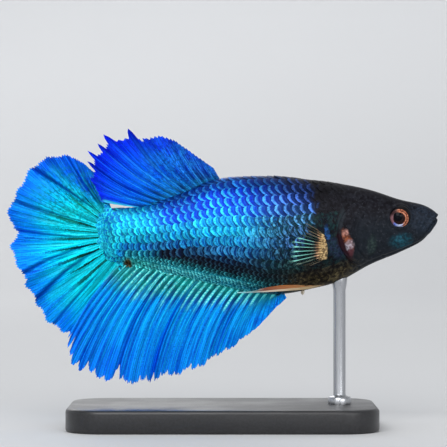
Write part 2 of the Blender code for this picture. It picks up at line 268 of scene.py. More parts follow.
def edit(piece, mode, wanted, operator, **settings):
    """Runs an edit-mode operator on only the wanted edges or faces of a piece."""
    activate(piece)
    bpy.ops.object.mode_set(mode="EDIT")
    bpy.ops.mesh.select_mode(type=mode)
    bpy.ops.mesh.select_all(action="DESELECT")
    bpy.ops.object.mode_set(mode="OBJECT")
    for item in piece.data.edges if mode == "EDGE" else piece.data.polygons:
        item.select = bool(wanted(item))
    bpy.ops.object.mode_set(mode="EDIT")
    operator(**settings)
    bpy.ops.object.mode_set(mode="OBJECT")


def every(item):
    return True


def outward(piece):
    """Turns a closed piece's faces so that they all point outwards."""
    edit(piece, "FACE", every, bpy.ops.mesh.normals_make_consistent, inside=False)


def finish_piece(piece, material, replaced=(), sharp_from=None):
    """Gives a piece its material, its shading and its body, and hides the solids it replaces."""
    piece.data.materials.clear()
    piece.data.materials.append(material)
    activate(piece)
    bpy.ops.object.transform_apply(location=True, rotation=True, scale=True)
    if sharp_from is None:
        bpy.ops.object.shade_smooth()
    else:
        bpy.ops.object.shade_smooth_by_angle(angle=sharp_from)
    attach(piece, "root")
    if replaced:
        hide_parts(*replaced)


# --- shader maths -----------------------------------------------------------


def _operator(operation, reflected=False):
    def method(self, other=0.0):
        first, second = (other, self) if reflected else (self, other)
        return self.paint.node("ShaderNodeMath", {"operation": operation}, {0: first, 1: second})

    return method


class Wire:
    """A value in a material. Arithmetic on it adds Math nodes."""

    def __init__(self, paint, socket):
        self.paint = paint
        self.socket = socket

    __add__ = __radd__ = _operator("ADD")
    __mul__ = __rmul__ = _operator("MULTIPLY")
    __sub__ = _operator("SUBTRACT")
    __rsub__ = _operator("SUBTRACT", reflected=True)
    __truediv__ = _operator("DIVIDE")
    __rtruediv__ = _operator("DIVIDE", reflected=True)
    __pow__ = _operator("POWER")
    size = _operator("ABSOLUTE")
    sine = _operator("SINE")
    least = _operator("MINIMUM")
    most = _operator("MAXIMUM")
    floor = _operator("FLOOR")


class Paint:
    """A new Principled material, and the calls that build the nodes behind it."""

    def __init__(self, name, **constants):
        self.material = bpy.data.materials.new(name)
        self.material.use_nodes = True
        self.tree = self.material.node_tree
        self.shader = self.tree.nodes["Principled BSDF"]
        for key, value in constants.items():
            socket = key.replace("_", " ").title().replace("Ior", "IOR")
            self.shader.inputs[socket].default_value = value

    def connect(self, socket, value):
        if isinstance(value, Wire):
            self.tree.links.new(value.socket, socket)
        elif socket.type == "RGBA":
            socket.default_value = (*value[:3], 1.0)
        else:
            socket.default_value = value

    def node(self, kind, settings, sockets, output=0):
        """Adds a node, sets it up, fills its sockets and gives one of its outputs."""
        made = self.tree.nodes.new(kind)
        for key, value in settings.items():
            if key == "stops":
                self.set_stops(made.color_ramp.elements, value)
            else:
                setattr(made, key, value)
        for key, value in sockets.items():
            self.connect(made.inputs[key], value)
        return Wire(self, made.outputs[output])

    def set_stops(self, elements, wanted):
        while len(elements) < len(wanted):
            elements.new(1.0)
        for element, (place, colour) in zip(elements, wanted):
            element.position = place
            element.color = (*colour, 1.0)

    def attribute(self, name):
        return self.node("ShaderNodeAttribute", {"attribute_name": name}, {}, "Fac")

    def place(self):
        """Object coordinates in millimetres, as a vector."""
        return self.shade(self.node("ShaderNodeTexCoord", {}, {}, "Object"), 1 / MM)

    def parts(self, vector):
        """The three numbers of a vector."""
        split = self.tree.nodes.new("ShaderNodeSeparateXYZ")
        self.connect(split.inputs[0], vector)
        return [Wire(self, output) for output in split.outputs]

    def uv(self, name):
        """The two numbers of a UV map."""
        return self.parts(self.node("ShaderNodeUVMap", {"uv_map": name}, {}))[:2]

    def joined(self, x, y, z):
        return self.node("ShaderNodeCombineXYZ", {}, {0: x, 1: y, 2: z})

    def rise(self, value, low, high, bottom=0.0, top=1.0):
        """A soft step from bottom at low to top at high."""
        settings = {"interpolation_type": "SMOOTHSTEP"}
        return self.node("ShaderNodeMapRange", settings, {0: value, 1: low, 2: high, 3: bottom, 4: top})

    def ramp(self, value, given):
        """The colour at a value on a ramp that is given by its stops."""
        return self.node("ShaderNodeValToRGB", {"stops": given}, {0: value})

    def mix(self, share, first, second):
        settings = {"data_type": "RGBA"}
        return self.node("ShaderNodeMix", settings, {0: share, 6: first, 7: second}, 2)

    def fade(self, value, low, high, first, second):
        """The first colour up to low, the second from high on."""
        return self.mix(self.rise(value, low, high), first, second)

    def shade(self, colour, amount):
        """A colour made darker or lighter by a number, or any vector made longer."""
        return self.node("ShaderNodeVectorMath", {"operation": "SCALE"}, {0: colour, "Scale": amount})

    def noise(self, vector, scale, detail=2.0, roughness=0.5):
        sockets = {"Vector": vector, "Scale": scale, "Detail": detail, "Roughness": roughness}
        return self.node("ShaderNodeTexNoise", {}, sockets)

    def cells(self, vector, scale):
        """How far a place is from the middle of the nearest of many scattered cells."""
        return self.node("ShaderNodeTexVoronoi", {}, {"Vector": vector, "Scale": scale}, "Distance")

    def pingpong(self, value):
        """0 at each whole number and 1 halfway to the next."""
        return self.node("ShaderNodeMath", {"operation": "PINGPONG"}, {0: value, 1: 0.5}) * 2

    def chance(self, number):
        """A number from 0 to 1 that is drawn anew for each whole number."""
        return self.node("ShaderNodeTexWhiteNoise", {"noise_dimensions": "1D"}, {"W": number})

    def spot(self, x, z, centre, radii, soft=0.35, lean=0.0):
        """1 inside an oval, seen from the side, and 0 well outside it."""
        dx, dz = x - centre[0], z - centre[1]
        across = (dx * math.cos(lean) + dz * math.sin(lean)) / radii[0]
        up = (dz * math.cos(lean) - dx * math.sin(lean)) / radii[1]
        return self.rise(across * across + up * up, (1 + soft) ** 2, max(1 - soft, 0) ** 2)

    def bump(self, height, strength, distance):
        """A normal from a height; distance is in millimetres."""
        sockets = {"Strength": strength, "Distance": distance * MM, "Height": height}
        return self.node("ShaderNodeBump", {}, sockets)

    def finish(self, **sockets):
        for key, value in sockets.items():
            self.connect(self.shader.inputs[key.replace("_", " ").title()], value)
        return self.material


# --- the markings that skin and scales share --------------------------------

# From the back (0) to the belly (1): the colours of a scale's middle and of its free edge, on the flank,
# on the tail stalk and on the front of the flank. From the middle of the flank down, the flank's colours
# are also made lighter than the fish's own, as painted light that makes up for the lamps lighting the
# lower flank less.
FLANK_MIDDLE = stops(
    (0.0, 2, 40, 96), (0.06, 2, 58, 140), (0.2, 0, 44, 190), (0.33, 0, 54, 208), (0.4, 0, 100, 220),
    (0.47, 0, 164, 240), (0.54, 0, 136, 244), (0.61, 0, 74, 176), (0.68, 4, 44, 96), (0.75, 10, 12, 32),
    (0.81, 10, 18, 32), (0.86, 12, 78, 90), (0.93, 16, 148, 172), (1.0, 20, 154, 172),
)
FLANK_EDGE = stops(
    (0.0, 24, 84, 160), (0.1, 40, 140, 240), (0.2, 40, 164, 250), (0.33, 44, 186, 252),
    (0.44, 50, 222, 255), (0.54, 44, 216, 255), (0.61, 46, 176, 250), (0.68, 64, 148, 206),
    (0.75, 36, 64, 92), (0.81, 40, 84, 100), (0.87, 70, 194, 204), (0.93, 128, 250, 246),
    (1.0, 128, 250, 242),
)
STALK_MIDDLE = stops(
    (0.0, 0, 96, 130), (0.1, 0, 140, 200), (0.3, 0, 168, 224), (0.5, 0, 172, 224), (0.6, 0, 142, 218),
    (0.68, 0, 102, 208), (0.76, 0, 92, 160), (0.84, 8, 112, 132), (1.0, 24, 140, 140),
)
STALK_EDGE = stops(
    (0.0, 40, 200, 210), (0.3, 44, 236, 250), (0.5, 36, 236, 250), (0.68, 28, 176, 250),
    (0.8, 60, 214, 240), (1.0, 90, 230, 224),
)
FRONT_MIDDLE = stops(
    (0.0, 16, 20, 36), (0.12, 8, 24, 54), (0.28, 6, 32, 84), (0.4, 14, 50, 76), (0.55, 12, 44, 72),
    (0.66, 14, 44, 52), (0.78, 18, 26, 30), (1.0, 26, 26, 26),
)
FRONT_EDGE = stops(
    (0.0, 36, 54, 92), (0.12, 40, 66, 130), (0.28, 74, 120, 224), (0.4, 96, 170, 232),
    (0.55, 90, 140, 224), (0.66, 64, 112, 114), (0.78, 44, 62, 66), (1.0, 60, 64, 60),
)
HEAD_BORDER = 11.6  # where along X the dark head ends


def head_share(paint, x, around, noise):
    """1 over the dark head and breast, 0 over the blue flank, with a broken border."""
    border = HEAD_BORDER - paint.rise(around, 0.34, 0.62, 0.0, 1.4)
    border = border + paint.rise(around, 0.0, 0.12, -2.2, 0.0)
    return paint.rise(x + (noise - 0.5) * 3.2, border - 0.9, border + 0.9)


def markings(paint):
    """The colours of the middle and of the free edge of a scale at each place of the body."""
    place = paint.place()
    x, _, z = paint.parts(place)
    around = paint.attribute("around")
    noise = paint.noise(place, 0.75, 3.0)
    fine = paint.noise(place, 2.4, 2.0)
    shifted = around + (noise - 0.5) * 0.05
    shifted = shifted + paint.rise(around, 0.58, 0.68) * paint.rise(x, 1.0, -7.0, 0.0, 0.035)
    wander = x + (noise - 0.5) * 3.5
    stalk, front = paint.rise(wander, -7.2, -11.2), paint.rise(wander, 0.0, 10.5)
    tail_share = shifted * paint.rise(x, -14.4, -12.2, 0.62, 1.0)

    def coat(flank, tail, fore):
        colour = paint.mix(stalk, paint.ramp(shifted, flank), paint.ramp(tail_share, tail))
        return paint.mix(front, colour, paint.ramp(shifted, fore))

    middle = coat(FLANK_MIDDLE, STALK_MIDDLE, FRONT_MIDDLE)
    edge = coat(FLANK_EDGE, STALK_EDGE, FRONT_EDGE)
    # blue blotches on the tail stalk
    blotch = paint.rise(fine, 0.48, 0.6) * stalk
    blotch = blotch * paint.rise(around, 0.75, 0.6) * paint.rise(x, -16.0, -15.0)
    middle = paint.mix(blotch * 0.7, middle, rgb(0, 84, 214))
    # the dark head, the olive breast and the spot in front of the tail fin
    head = head_share(paint, x, around, noise)
    dark = paint.mix(paint.rise(fine, 0.35, 0.75) * 0.7, colours().head, colours().head_fleck)
    breast = paint.rise(x, 6.5, 11.5) * paint.rise(around, 0.68, 0.84) * paint.rise(x, 19.5, 15.5)
    olive = paint.fade(fine, 0.4, 0.68, rgb(34, 30, 26), colours().breast)
    vent = paint.spot(x, z, (-12.3, 21.1), (0.5, 0.8), 0.4)
    middle = paint.mix(breast, paint.mix(head, middle, dark), paint.shade(olive, 0.7))
    edge = paint.mix(breast, paint.mix(head, edge, paint.shade(dark, 1.15)), olive)
    middle = paint.mix(vent, middle, rgb(40, 34, 20))
    edge = paint.mix(vent, edge, rgb(84, 74, 38))
    return middle, edge, head.most(breast), (x, z, around, noise, fine)


# The patches of the head and of the gill cover: centre, radii, colour, strength, how far it is
# broken up (0 not at all, 1 in specks, 2 in embers), how soft its edge is, and its lean.
HEAD_PATCHES = (
    ((26.0, 27.3), (1.5, 1.5), (48, 60, 76), 0.5, 1, 0.8, 0.0),  # the snout
    ((23.0, 24.2), (1.3, 0.8), (20, 92, 110), 0.5, 1, 0.5, 0.15),  # the teal cheek
    ((22.7, 24.4), (0.4, 0.3), (50, 110, 130), 0.5, 1, 0.8, 0.0),
    ((19.2, 23.7), (0.5, 0.9), (66, 88, 80), 0.35, 1, 0.7, 0.0),  # the middle of the gill cover
    ((15.2, 27.0), (0.3, 1.2), (50, 58, 64), 0.4, 0, 0.7, -0.2),  # the gill cover's rear edge
    ((14.4, 23.3), (0.7, 1.2), (44, 56, 84), 0.6, 1, 0.7, 0.6),
    ((15.6, 23.5), (0.42, 1.7), (38, 12, 20), 0.75, 0, 0.6, 0.5),  # the gills' dark red, and on it
    ((16.05, 24.4), (0.37, 1.2), (140, 78, 52), 1.0, 2, 0.5, 0.44),  # copper, and a pink and a silver painted highlight
    ((15.8, 25.3), (0.3, 0.3), (190, 140, 130), 1.0, 2, 0.7, 0.0),
    ((16.3, 23.7), (0.36, 0.5), (172, 166, 178), 1.0, 2, 0.7, 0.0),
    ((16.45, 22.85), (0.25, 0.4), (104, 60, 66), 0.5, 0, 0.8, 0.0),
    ((13.4, 25.3), (0.27, 0.75), (36, 84, 150), 0.75, 1, 0.6, 0.0),  # the blue fleck by the shoulder
)


def head_colour(paint, colour, x, z, around, noise, fine):
    """The patches of the head and of the gill cover, over the dark colour."""
    speck = paint.noise(paint.joined(x, z, around * 3), 3.2, 3.0)
    cheek = paint.rise(z, 29.0, 25.0) * paint.rise(x, 15.5, 18.0)
    colour = paint.mix(cheek * 0.4, colour, rgb(34, 44, 52))
    dots = paint.rise(speck, 0.58, 0.72) * paint.rise(x, 14.0, 17.0)
    colour = paint.mix(dots * 0.35, colour, rgb(76, 80, 88))
    breaks = (1.0, paint.rise(speck, 0.36, 0.62, 0.25, 1.0), paint.rise(speck, 0.4, 0.6, 0.3, 0.9))
    wavy_x, wavy_z = x + (noise - 0.5) * 0.9, z + (fine - 0.5) * 0.7
    for centre, radii, tint, strength, kind, soft, lean in HEAD_PATCHES:
        share = paint.spot(wavy_x, wavy_z, centre, radii, soft, lean) * (breaks[kind] * strength)
        colour = paint.mix(share, colour, rgb(*tint))
    return colour


# --- skin -------------------------------------------------------------------

EYE_CENTRE = sum(node_box("eye_L")) / 2
FLESH = ("head", "lower_jaw", "gill_cover_L", "gill_cover_R", "trunk_front", "trunk_rear", "peduncle")
MOUTH_TIP = (28.2, 27.55)  # the mouth runs down and back from here
MOUTH_SLOPE = math.radians(45)
MOUTH_LENGTH = 2.75
NOSTRILS = ((25.75, 28.0), (24.8, 28.45))
MEMBRANE_CENTRE, MEMBRANE_RADII = (18.6, 25.2), (3.85, 4.35)  # the soft rear edge of the gill cover
# Where along X the skin's rings get denser towards the head, and how much denser.
SKIN_FROM, SKIN_DENSER, SKIN_DENSITY = 13.0, 15.5, 2.6


def oval_distance(x, z, centre, radii):
    """Millimetres outwards from an oval, seen from the side."""
    reach = np.hypot((x - centre[0]) / radii[0], (z - centre[1]) / radii[1])
    return (reach - 1) * 0.5 * (radii[0] + radii[1])


def coat_share(x, z):
    """1 where the skin carries full scales, fading to 0 over the nape and under the gill cover."""
    behind = smooth(oval_distance(x, z, MEMBRANE_CENTRE, MEMBRANE_RADII), 0.0, 0.5)
    return behind * smooth(x, 17.0, 12.5)


def head_relief(x, z, around):
    """How far the skin stands out from the plain form of the head, in millimetres."""
    rise = np.zeros_like(x)
    # the orbit: a bowl for the eyeball, a soft lid round it and a furrow outside the lid
    eye = np.hypot(x - EYE_CENTRE[0], z - EYE_CENTRE[2])
    near = smooth(around, 0.02, 0.1)
    rise -= 1.0 * smooth(eye, 1.34, 1.18) * near
    rise += 0.09 * bell(eye - 1.5, 0.18) * near
    rise -= 0.05 * bell(eye - 1.9, 0.2) * near
    # the mouth: a slit with two lips and the fold of the upper jaw
    back, up = x - MOUTH_TIP[0], z - MOUTH_TIP[1]
    along = -back * math.cos(MOUTH_SLOPE) - up * math.sin(MOUTH_SLOPE)
    across = up * math.cos(MOUTH_SLOPE) - back * math.sin(MOUTH_SLOPE) + 0.035 * along**2
    mouth = smooth(along, MOUTH_LENGTH + 0.25, MOUTH_LENGTH - 0.35)
    rise += 0.13 * bell(across - 0.26, 0.2) * mouth
    rise += 0.15 * bell(across + 0.3, 0.24) * mouth
    rise -= 0.34 * bell(across, 0.1) * mouth
    rise -= 0.07 * bell(across - 0.72, 0.12) * smooth(along, 3.6, 2.6) * smooth(along, 0.3, 1.0)
    rise -= 0.06 * bell(across + 0.85, 0.14) * smooth(along, 3.4, 2.4) * smooth(along, 0.5, 1.2)
    for place in NOSTRILS:
        pit = np.hypot(x - place[0], z - place[1])
        rise += 0.07 * bell(pit - 0.24, 0.1) - 0.2 * smooth(pit, 0.2, 0.06)
    # the gill cover: a soft membrane, then a hard plate on it, then the cheek plate
    sides = smooth(around, 0.06, 0.22)
    membrane = oval_distance(x, z, MEMBRANE_CENTRE, MEMBRANE_RADII)
    rear = smooth(x, 18.6, 16.8) * sides
    rise += (0.2 * smooth(membrane, 0.02, -0.16) - 0.12 * bell(membrane - 0.1, 0.12)) * rear
    rise -= 0.2 * smooth(membrane, -0.2, -3.0) * rear
    plate = oval_distance(x, z, (20.5, 25.2), (3.6, 3.85))
    ridge = smooth(z, 21.6, 22.6) * smooth(z, 28.8, 27.8) * smooth(x, 19.2, 18.2) * sides
    rise += (0.12 * bell(plate + 0.22, 0.26) - 0.1 * bell(plate - 0.06, 0.14)) * ridge
    cheek = oval_distance(x, z, (21.9, 25.0), (2.6, 3.0))
    crease = smooth(z, 28.2, 27.0) * smooth(x, 21.6, 20.6) * sides
    rise += (0.05 * bell(cheek + 0.3, 0.3) - 0.08 * bell(cheek, 0.13)) * crease
    # the throat: the branchial folds run forwards under the jaw
    for fold, depth in ((0.8, 0.07), (0.88, 0.09), (1.0, 0.12)):
        rise -= depth * bell(around - fold, 0.022) * smooth(x, 15.5, 17.5) * smooth(x, 26.3, 24.5)
    return rise


def skin_points(share, turn):
    """Skin points, and the girth shares there. share runs from snout to tail and turn round it."""
    stations = np.linspace(0, LAST, 2001)
    line = through(BODY_SECTIONS, stations)
    steps = np.hypot(np.diff(line[:, 0]), np.abs(np.diff(line[:, 1] - line[:, 2])) / 2)
    weight = 1 + SKIN_DENSITY * smooth(line[1:, 0], SKIN_FROM, SKIN_DENSER)
    travelled = np.concatenate([[0], np.cumsum(steps * weight)])
    place = np.interp(share * travelled[-1], travelled, stations)
    around = 1 - np.abs(2 * turn - 1)
    side = np.where(turn < 0.5, 1, -1)
    points, normals = surface(place, np.where(around == 0, 1e-9, around) * side)
    x, z = points[:, 0], points[:, 2]
    rise = head_relief(x, z, around) - sizes().coat_depth / MM * coat_share(x, z)
    return points + normals * rise[:, None], around


def skin_material():
    paint = Paint("betta_skin", metallic=0.1, specular_ior_level=0.05)
    middle, _, _, (x, z, around, noise, fine) = markings(paint)
    # the skin is painted darker where the scales cover it: painted shade under the scales
    shade_under_scales = paint.rise(x, 14.5, 12.5) * paint.rise(x, -16.1, -15.3)
    under = paint.mix(shade_under_scales, middle, paint.shade(middle, 0.45))
    colour = head_colour(paint, under, x, z, around, noise, fine)
    place = paint.place()
    scaly = paint.cells(place, 1.25)
    pores = paint.noise(place, 9.0, 3.0)
    height = paint.rise(scaly, 0.15, 0.75) * -0.6 + pores * 0.35
    colour = paint.mix(paint.rise(scaly, 0.5, 0.85) * 0.35, colour, paint.shade(colour, 0.55))
    return paint.finish(
        base_color=colour,
        roughness=paint.rise(noise + fine, 0.6, 1.4, 0.34, 0.5),
        normal=paint.bump(height, 0.5, 0.05),
    )


class BETTA_OT_skin(bpy.types.Operator):
    """Stretch one sphere over the whole body as its skin, with the folds of the head"""

    bl_idname = "betta.skin"
    bl_label = "Skin"

    def execute(self, context):
        rings, columns = sizes().skin_rings, sizes().skin_columns
        skin = unit_ball("skin", columns, rings)
        unit = points_of(skin)
        share = np.round(np.arccos(np.clip(unit[:, 2], -1, 1)) / math.pi * rings) / rings
        turn = np.round(np.arctan2(unit[:, 1], unit[:, 0]) / (2 * math.pi) * columns) % columns / columns
        points, around = skin_points(share, turn)
        put_points(skin, points)
        put_attribute(skin, "around", around)
        skin.data.uv_layers[0].name = "OFBake"
        outward(skin)
        finish_piece(skin, skin_material(), FLESH)
        return {"FINISHED"}


# --- scales -----------------------------------------------------------------

# The height of the rows of large scales at places along X, and how far apart the scales of a row
# follow each other there, for each mm of row height.
ROW_HEIGHTS = ((-16, -12, -7.2, 0, 6.4, 12, 19), (0.76, 0.96, 1.09, 1.25, 1.42, 1.42, 1.25))
PITCHES = ((-16, -7, 0, 12), (0.88, 0.86, 0.76, 0.74))
NARROW_PITCH = 0.93  # the same from the middle of the flank downwards, as a share of that pitch
HIGHEST_ROW = -9  # the row at the back: rows count down from 0, the middle of the flank
LARGE_BELOW = 2.45  # rows of large scales below the middle of the flank
LARGE_SIZE = (1.42, 0.78)  # length and half width, for each mm of row height
ROW_SLOPE = 0.04  # how far the rows sink towards the tail, for each mm
SCALE_LEAN = 0.36  # how far the lower flank of a scale lies ahead of its middle, on the upper side
SCALES_FROM, SCALES_TO = 19, -17  # where along X the tables of the scales begin and end
GRID_STEP = 0.01
LARGE_END, LOW_END = -15.4, -14.5  # where along X the last scales are rooted
LOW_ROWS, LOW_START = 11, 0.12  # rows of small scales, and how far from the belly line they start
LOW_FIRST, LOW_GROWTH = 0.42, 1.08  # the lowest row's height in millimetres, and each next one's share
LOW_PITCH = 0.86  # how far apart they follow each other, for each mm of row height
LOW_SIZE = (1.65, 0.72)  # length and half width, for each mm of row height
BAKE_PATCH = 0.42  # a scale's patch in the bake map, as a share of its real size


def row_height(x):
    """The spacing of the rows of large scales, in millimetres."""
    return np.interp(x, *ROW_HEIGHTS)


def border_share(x):
    """Where the large scales end and the small ones of the belly begin, as a share of the girth."""
    return 0.5 + (LARGE_BELOW + 0.4) * row_height(x) / girth_at(x)


def is_coated(x, around):
    z = surface(np.atleast_1d(place_at(x)), np.atleast_1d(around))[0][0, 2]
    return coat_share(x, z) > 0.02


def large_scales():
    """Roots of the large scales, row by row: x, share of the girth, length and half width."""
    grid = np.linspace(SCALES_FROM, SCALES_TO, round((SCALES_FROM - SCALES_TO) / GRID_STEP) + 1)
    pitch = np.interp(grid[1:], *PITCHES) * row_height(grid[1:])
    counted = np.concatenate([[0], np.cumsum(GRID_STEP / pitch)])
    found = []
    for row in range(HIGHEST_ROW, math.ceil(LARGE_BELOW) + 1):
        narrow = 1.0 if row < -1 else NARROW_PITCH
        for column in np.arange(0.5 * (row % 2), counted[-1], narrow):
            x = float(np.interp(column, counted, grid))
            height = float(row_height(np.array(x)))
            around = 0.5 + ((row - 0.2) * height + ROW_SLOPE * (6 - x)) / float(girth_at(x))
            if 0.012 < around < float(border_share(x)) and x > LARGE_END and is_coated(x, around):
                found.append((x, around, LARGE_SIZE[0] * narrow * height, LARGE_SIZE[1] * height))
    return found


def low_scales():
    """Roots of the small scales that cover the belly and the base of the anal fin."""
    found, height, distance = [], LOW_FIRST, LOW_START
    for row in range(LOW_ROWS):
        pitch = LOW_PITCH * height
        for column in np.arange(SCALES_FROM, LOW_END - 1, -pitch):
            x = float(column) + 0.5 * pitch * (row % 2)
            around = 1 - distance / float(girth_at(x))
            if float(border_share(x)) - 0.03 < around and x > LOW_END and is_coated(x, around):
                found.append((x, around, LOW_SIZE[0] * height, LOW_SIZE[1] * height))
        distance += height
        height *= LOW_GROWTH
    return found


def scale_template():
    """One flat scale with a rounded free edge: where its vertices lie along and across it, which of
    them are under it, and its faces."""
    add = bpy.ops.mesh.primitive_grid_add
    plate = primitive(add, "scale_template", x_subdivisions=5, y_subdivisions=6, size=2)
    down = {"value": (0, 0, -1)}
    edit(plate, "FACE", every, bpy.ops.mesh.extrude_region_move, TRANSFORM_OT_translate=down)
    edit(plate, "FACE", lambda face: face.center[2] < -0.9, bpy.ops.mesh.dissolve_faces)
    outward(plate)
    points = points_of(plate)
    faces = [tuple(face.vertices) for face in plate.data.polygons]
    bpy.data.objects.remove(plate)
    return (points[:, 0] + 1) / 2, np.sin(points[:, 1] * math.pi / 2), points[:, 2] < -0.5, faces


def scale_shape(template, length, half):
    """The template's free edge and flanks rounded: how far back and how far across, in millimetres."""
    along, across = template[:2]
    reach = along * (1 - 0.5 * np.abs(across) ** 2.2)
    spread = across * half * (0.86 + 0.14 * np.sin(math.pi * np.minimum(along * 1.1, 1)))
    return reach, (reach - 0.45) * length, spread


def scale_lift(template, reach, drop, size):
    """How far a scale's points stand out from the skin: sunk at the root, raised at the free edge."""
    along, across, under = template[:3]
    lift = -0.05 + (0.12 + drop) * reach - 0.02 * across**2 + 0.015 * np.sin(math.pi * along)
    return (lift - 0.045 * under) * size - 0.02


def body_scales(name, roots, side, rng, template, material):
    """Lays scales on one side of the body, at their roots (x, share of the girth, length, half width)."""
    x0, around0, length, half = (np.array(column)[:, None] for column in zip(*roots))
    count = len(roots)
    length = length * rng.uniform(0.95, 1.05, (count, 1))
    reach, back, spread = scale_shape(template, length, half)
    tilt, slip = rng.normal(0, 0.07, (count, 1)), rng.normal(0, 0.025, (count, 1))
    lean = SCALE_LEAN * smooth(around0, 0.62, 0.5)
    x = x0 - back + slip * length + lean * spread
    around = around0 + (spread + tilt * back) / girth_at(x)
    over = np.abs(around)
    over = np.where(over > 1, 2 - over, over)
    turned_side = np.where((around < 0) | (around > 1), -side, side)
    points, normals = surface(place_at(x), over * turned_side)
    size = half * (0.2 + 0.8 * coat_share(points[..., 0], points[..., 2]))
    lift = scale_lift(template, reach, rng.normal(0, 0.02, (count, 1)), size)
    span = SCALES_FROM - SCALES_TO
    patch = BAKE_PATCH / span
    bake_u = (x0 - SCALES_TO) / span + (template[0] - 0.5) * patch * length
    bake_v = 0.02 + 0.96 * around0 + template[1] * patch * half
    bake = np.clip(np.stack([bake_u, bake_v], -1), 0, 1)
    join_scales(name, points + normals * lift[..., None], template, around0, bake, rng, material)


def body_half(x, z):
    """Half the body's thickness at a place seen from the side, and 0 outside its outline."""
    _, top, bottom, half, middle, upper, lower = np.moveaxis(through(BODY_SECTIONS, place_at(x)), -1, 0)
    above = z > middle
    off = np.abs(z - middle) / np.maximum(np.where(above, top - middle, middle - bottom), 1e-6)
    power = np.where(above, upper, lower)
    return half * np.maximum(1 - off**power, 0) ** (1 / power)


# Small scales over the root of a fin: the fin, how many across it and along it, how far from its
# root line the first ones start and how far apart they follow, their length and half width, and the
# shares of the girth whose colours they have, at the fin's first ray and at its last.
ROOT_SCALES = {
    "tail_scales": ("caudal_fin", 13, 4, 0.0, 0.4, 0.84, 0.41, (0.15, 0.6)),
    "anal_scales": ("anal_fin", 46, 6, 0.1, 0.26, 0.56, 0.25, (0.9, 1.0)),
}


def root_scales(name, side, rng, template, material):
    """Small scales that carry the coat on over the root of a fin, and thin out there."""
    fin_name, rows, columns, first, step, length, half, girth = ROOT_SCALES[name[:-2]]
    fin = FINS[fin_name]
    row, column = (each.reshape(-1, 1) for each in np.meshgrid(np.arange(rows), np.arange(columns)))
    kept = rng.uniform(0, 1, row.shape) > smooth(column, 0.5 * columns, 1.1 * columns)
    row, column = row[kept[:, 0]], column[kept[:, 0]]
    share0 = (row + 0.5 * (column % 2) + rng.uniform(0.15, 0.35, row.shape)) / rows

    def line(share, along):
        return fin_line(fin, share.ravel(), np.maximum(along, 0).ravel()).reshape(*share.shape, 2)

    ray_length = np.linalg.norm(line(share0, 1 + 0 * share0) - line(share0, 0 * share0), axis=-1)
    along0 = (first + step * column) / ray_length
    within = along0[:, 0] < 0.6
    drawn = (row, column, share0, along0, ray_length)
    row, column, share0, along0, ray_length = (each[within] for each in drawn)
    count = len(row)
    ahead, behind = np.minimum(share0 + 0.01, 1), np.maximum(share0 - 0.01, 0)
    width = np.linalg.norm(line(ahead, along0) - line(behind, along0), axis=-1) / (ahead - behind)
    grown = rng.uniform(0.85, 1.15, (count, 1)) * (1 - 0.3 * column / columns)
    reach, back, spread = scale_shape(template, length * grown, half * grown)
    along = along0 + back / ray_length
    share = np.clip(share0 + spread / width, 0, 1)
    x, z = np.moveaxis(line(share, along), -1, 0)
    rest = np.maximum(body_half(x, z), 0.3 * smooth(along, 0.3, 0.0))
    out = rest + 0.03 + scale_lift(template, reach, rng.normal(0, 0.03, (count, 1)), 0.6)
    y = fin_side(fin, share, np.maximum(along, 0)) + side * out
    bake_u = (column + 0.5 + (template[0] - 0.5) * 0.8) / columns
    bake_v = (row + 0.5 * (column % 2) + 0.3 + template[1] * 0.25) / (rows + 1)
    around0 = np.interp(share0, (0, 1), girth)
    bake = np.stack([bake_u, bake_v], -1)
    join_scales(name, np.stack([x, y, z], -1), template, around0, bake, rng, material)


def join_scales(name, points, template, around0, bake, rng, material):
    """One piece of all the scales whose points are given, with the maps that their paint reads."""
    along, across, _, faces = template
    count = len(points)
    each = np.ones(points.shape[:2])
    merged = bpy.data.meshes.new(name)
    joined = [tuple(np.add(face, k * len(along))) for k in range(count) for face in faces]
    merged.from_pydata(points.reshape(-1, 3) * MM, [], joined)
    piece = bpy.data.objects.new(name, merged)
    bpy.context.scene.collection.objects.link(piece)
    put_uv(piece, "ScaleUV", np.stack([along * each, (across + 1) / 2 * each], -1).reshape(-1, 2))
    put_uv(piece, "OFBake", (bake * each[..., None]).reshape(-1, 2))
    put_attribute(piece, "around", around0 * each)
    put_attribute(piece, "grain", rng.uniform(0, 1, (count, 1)) * each)
    outward(piece)
    finish_piece(piece, material, sharp_from=math.radians(50))


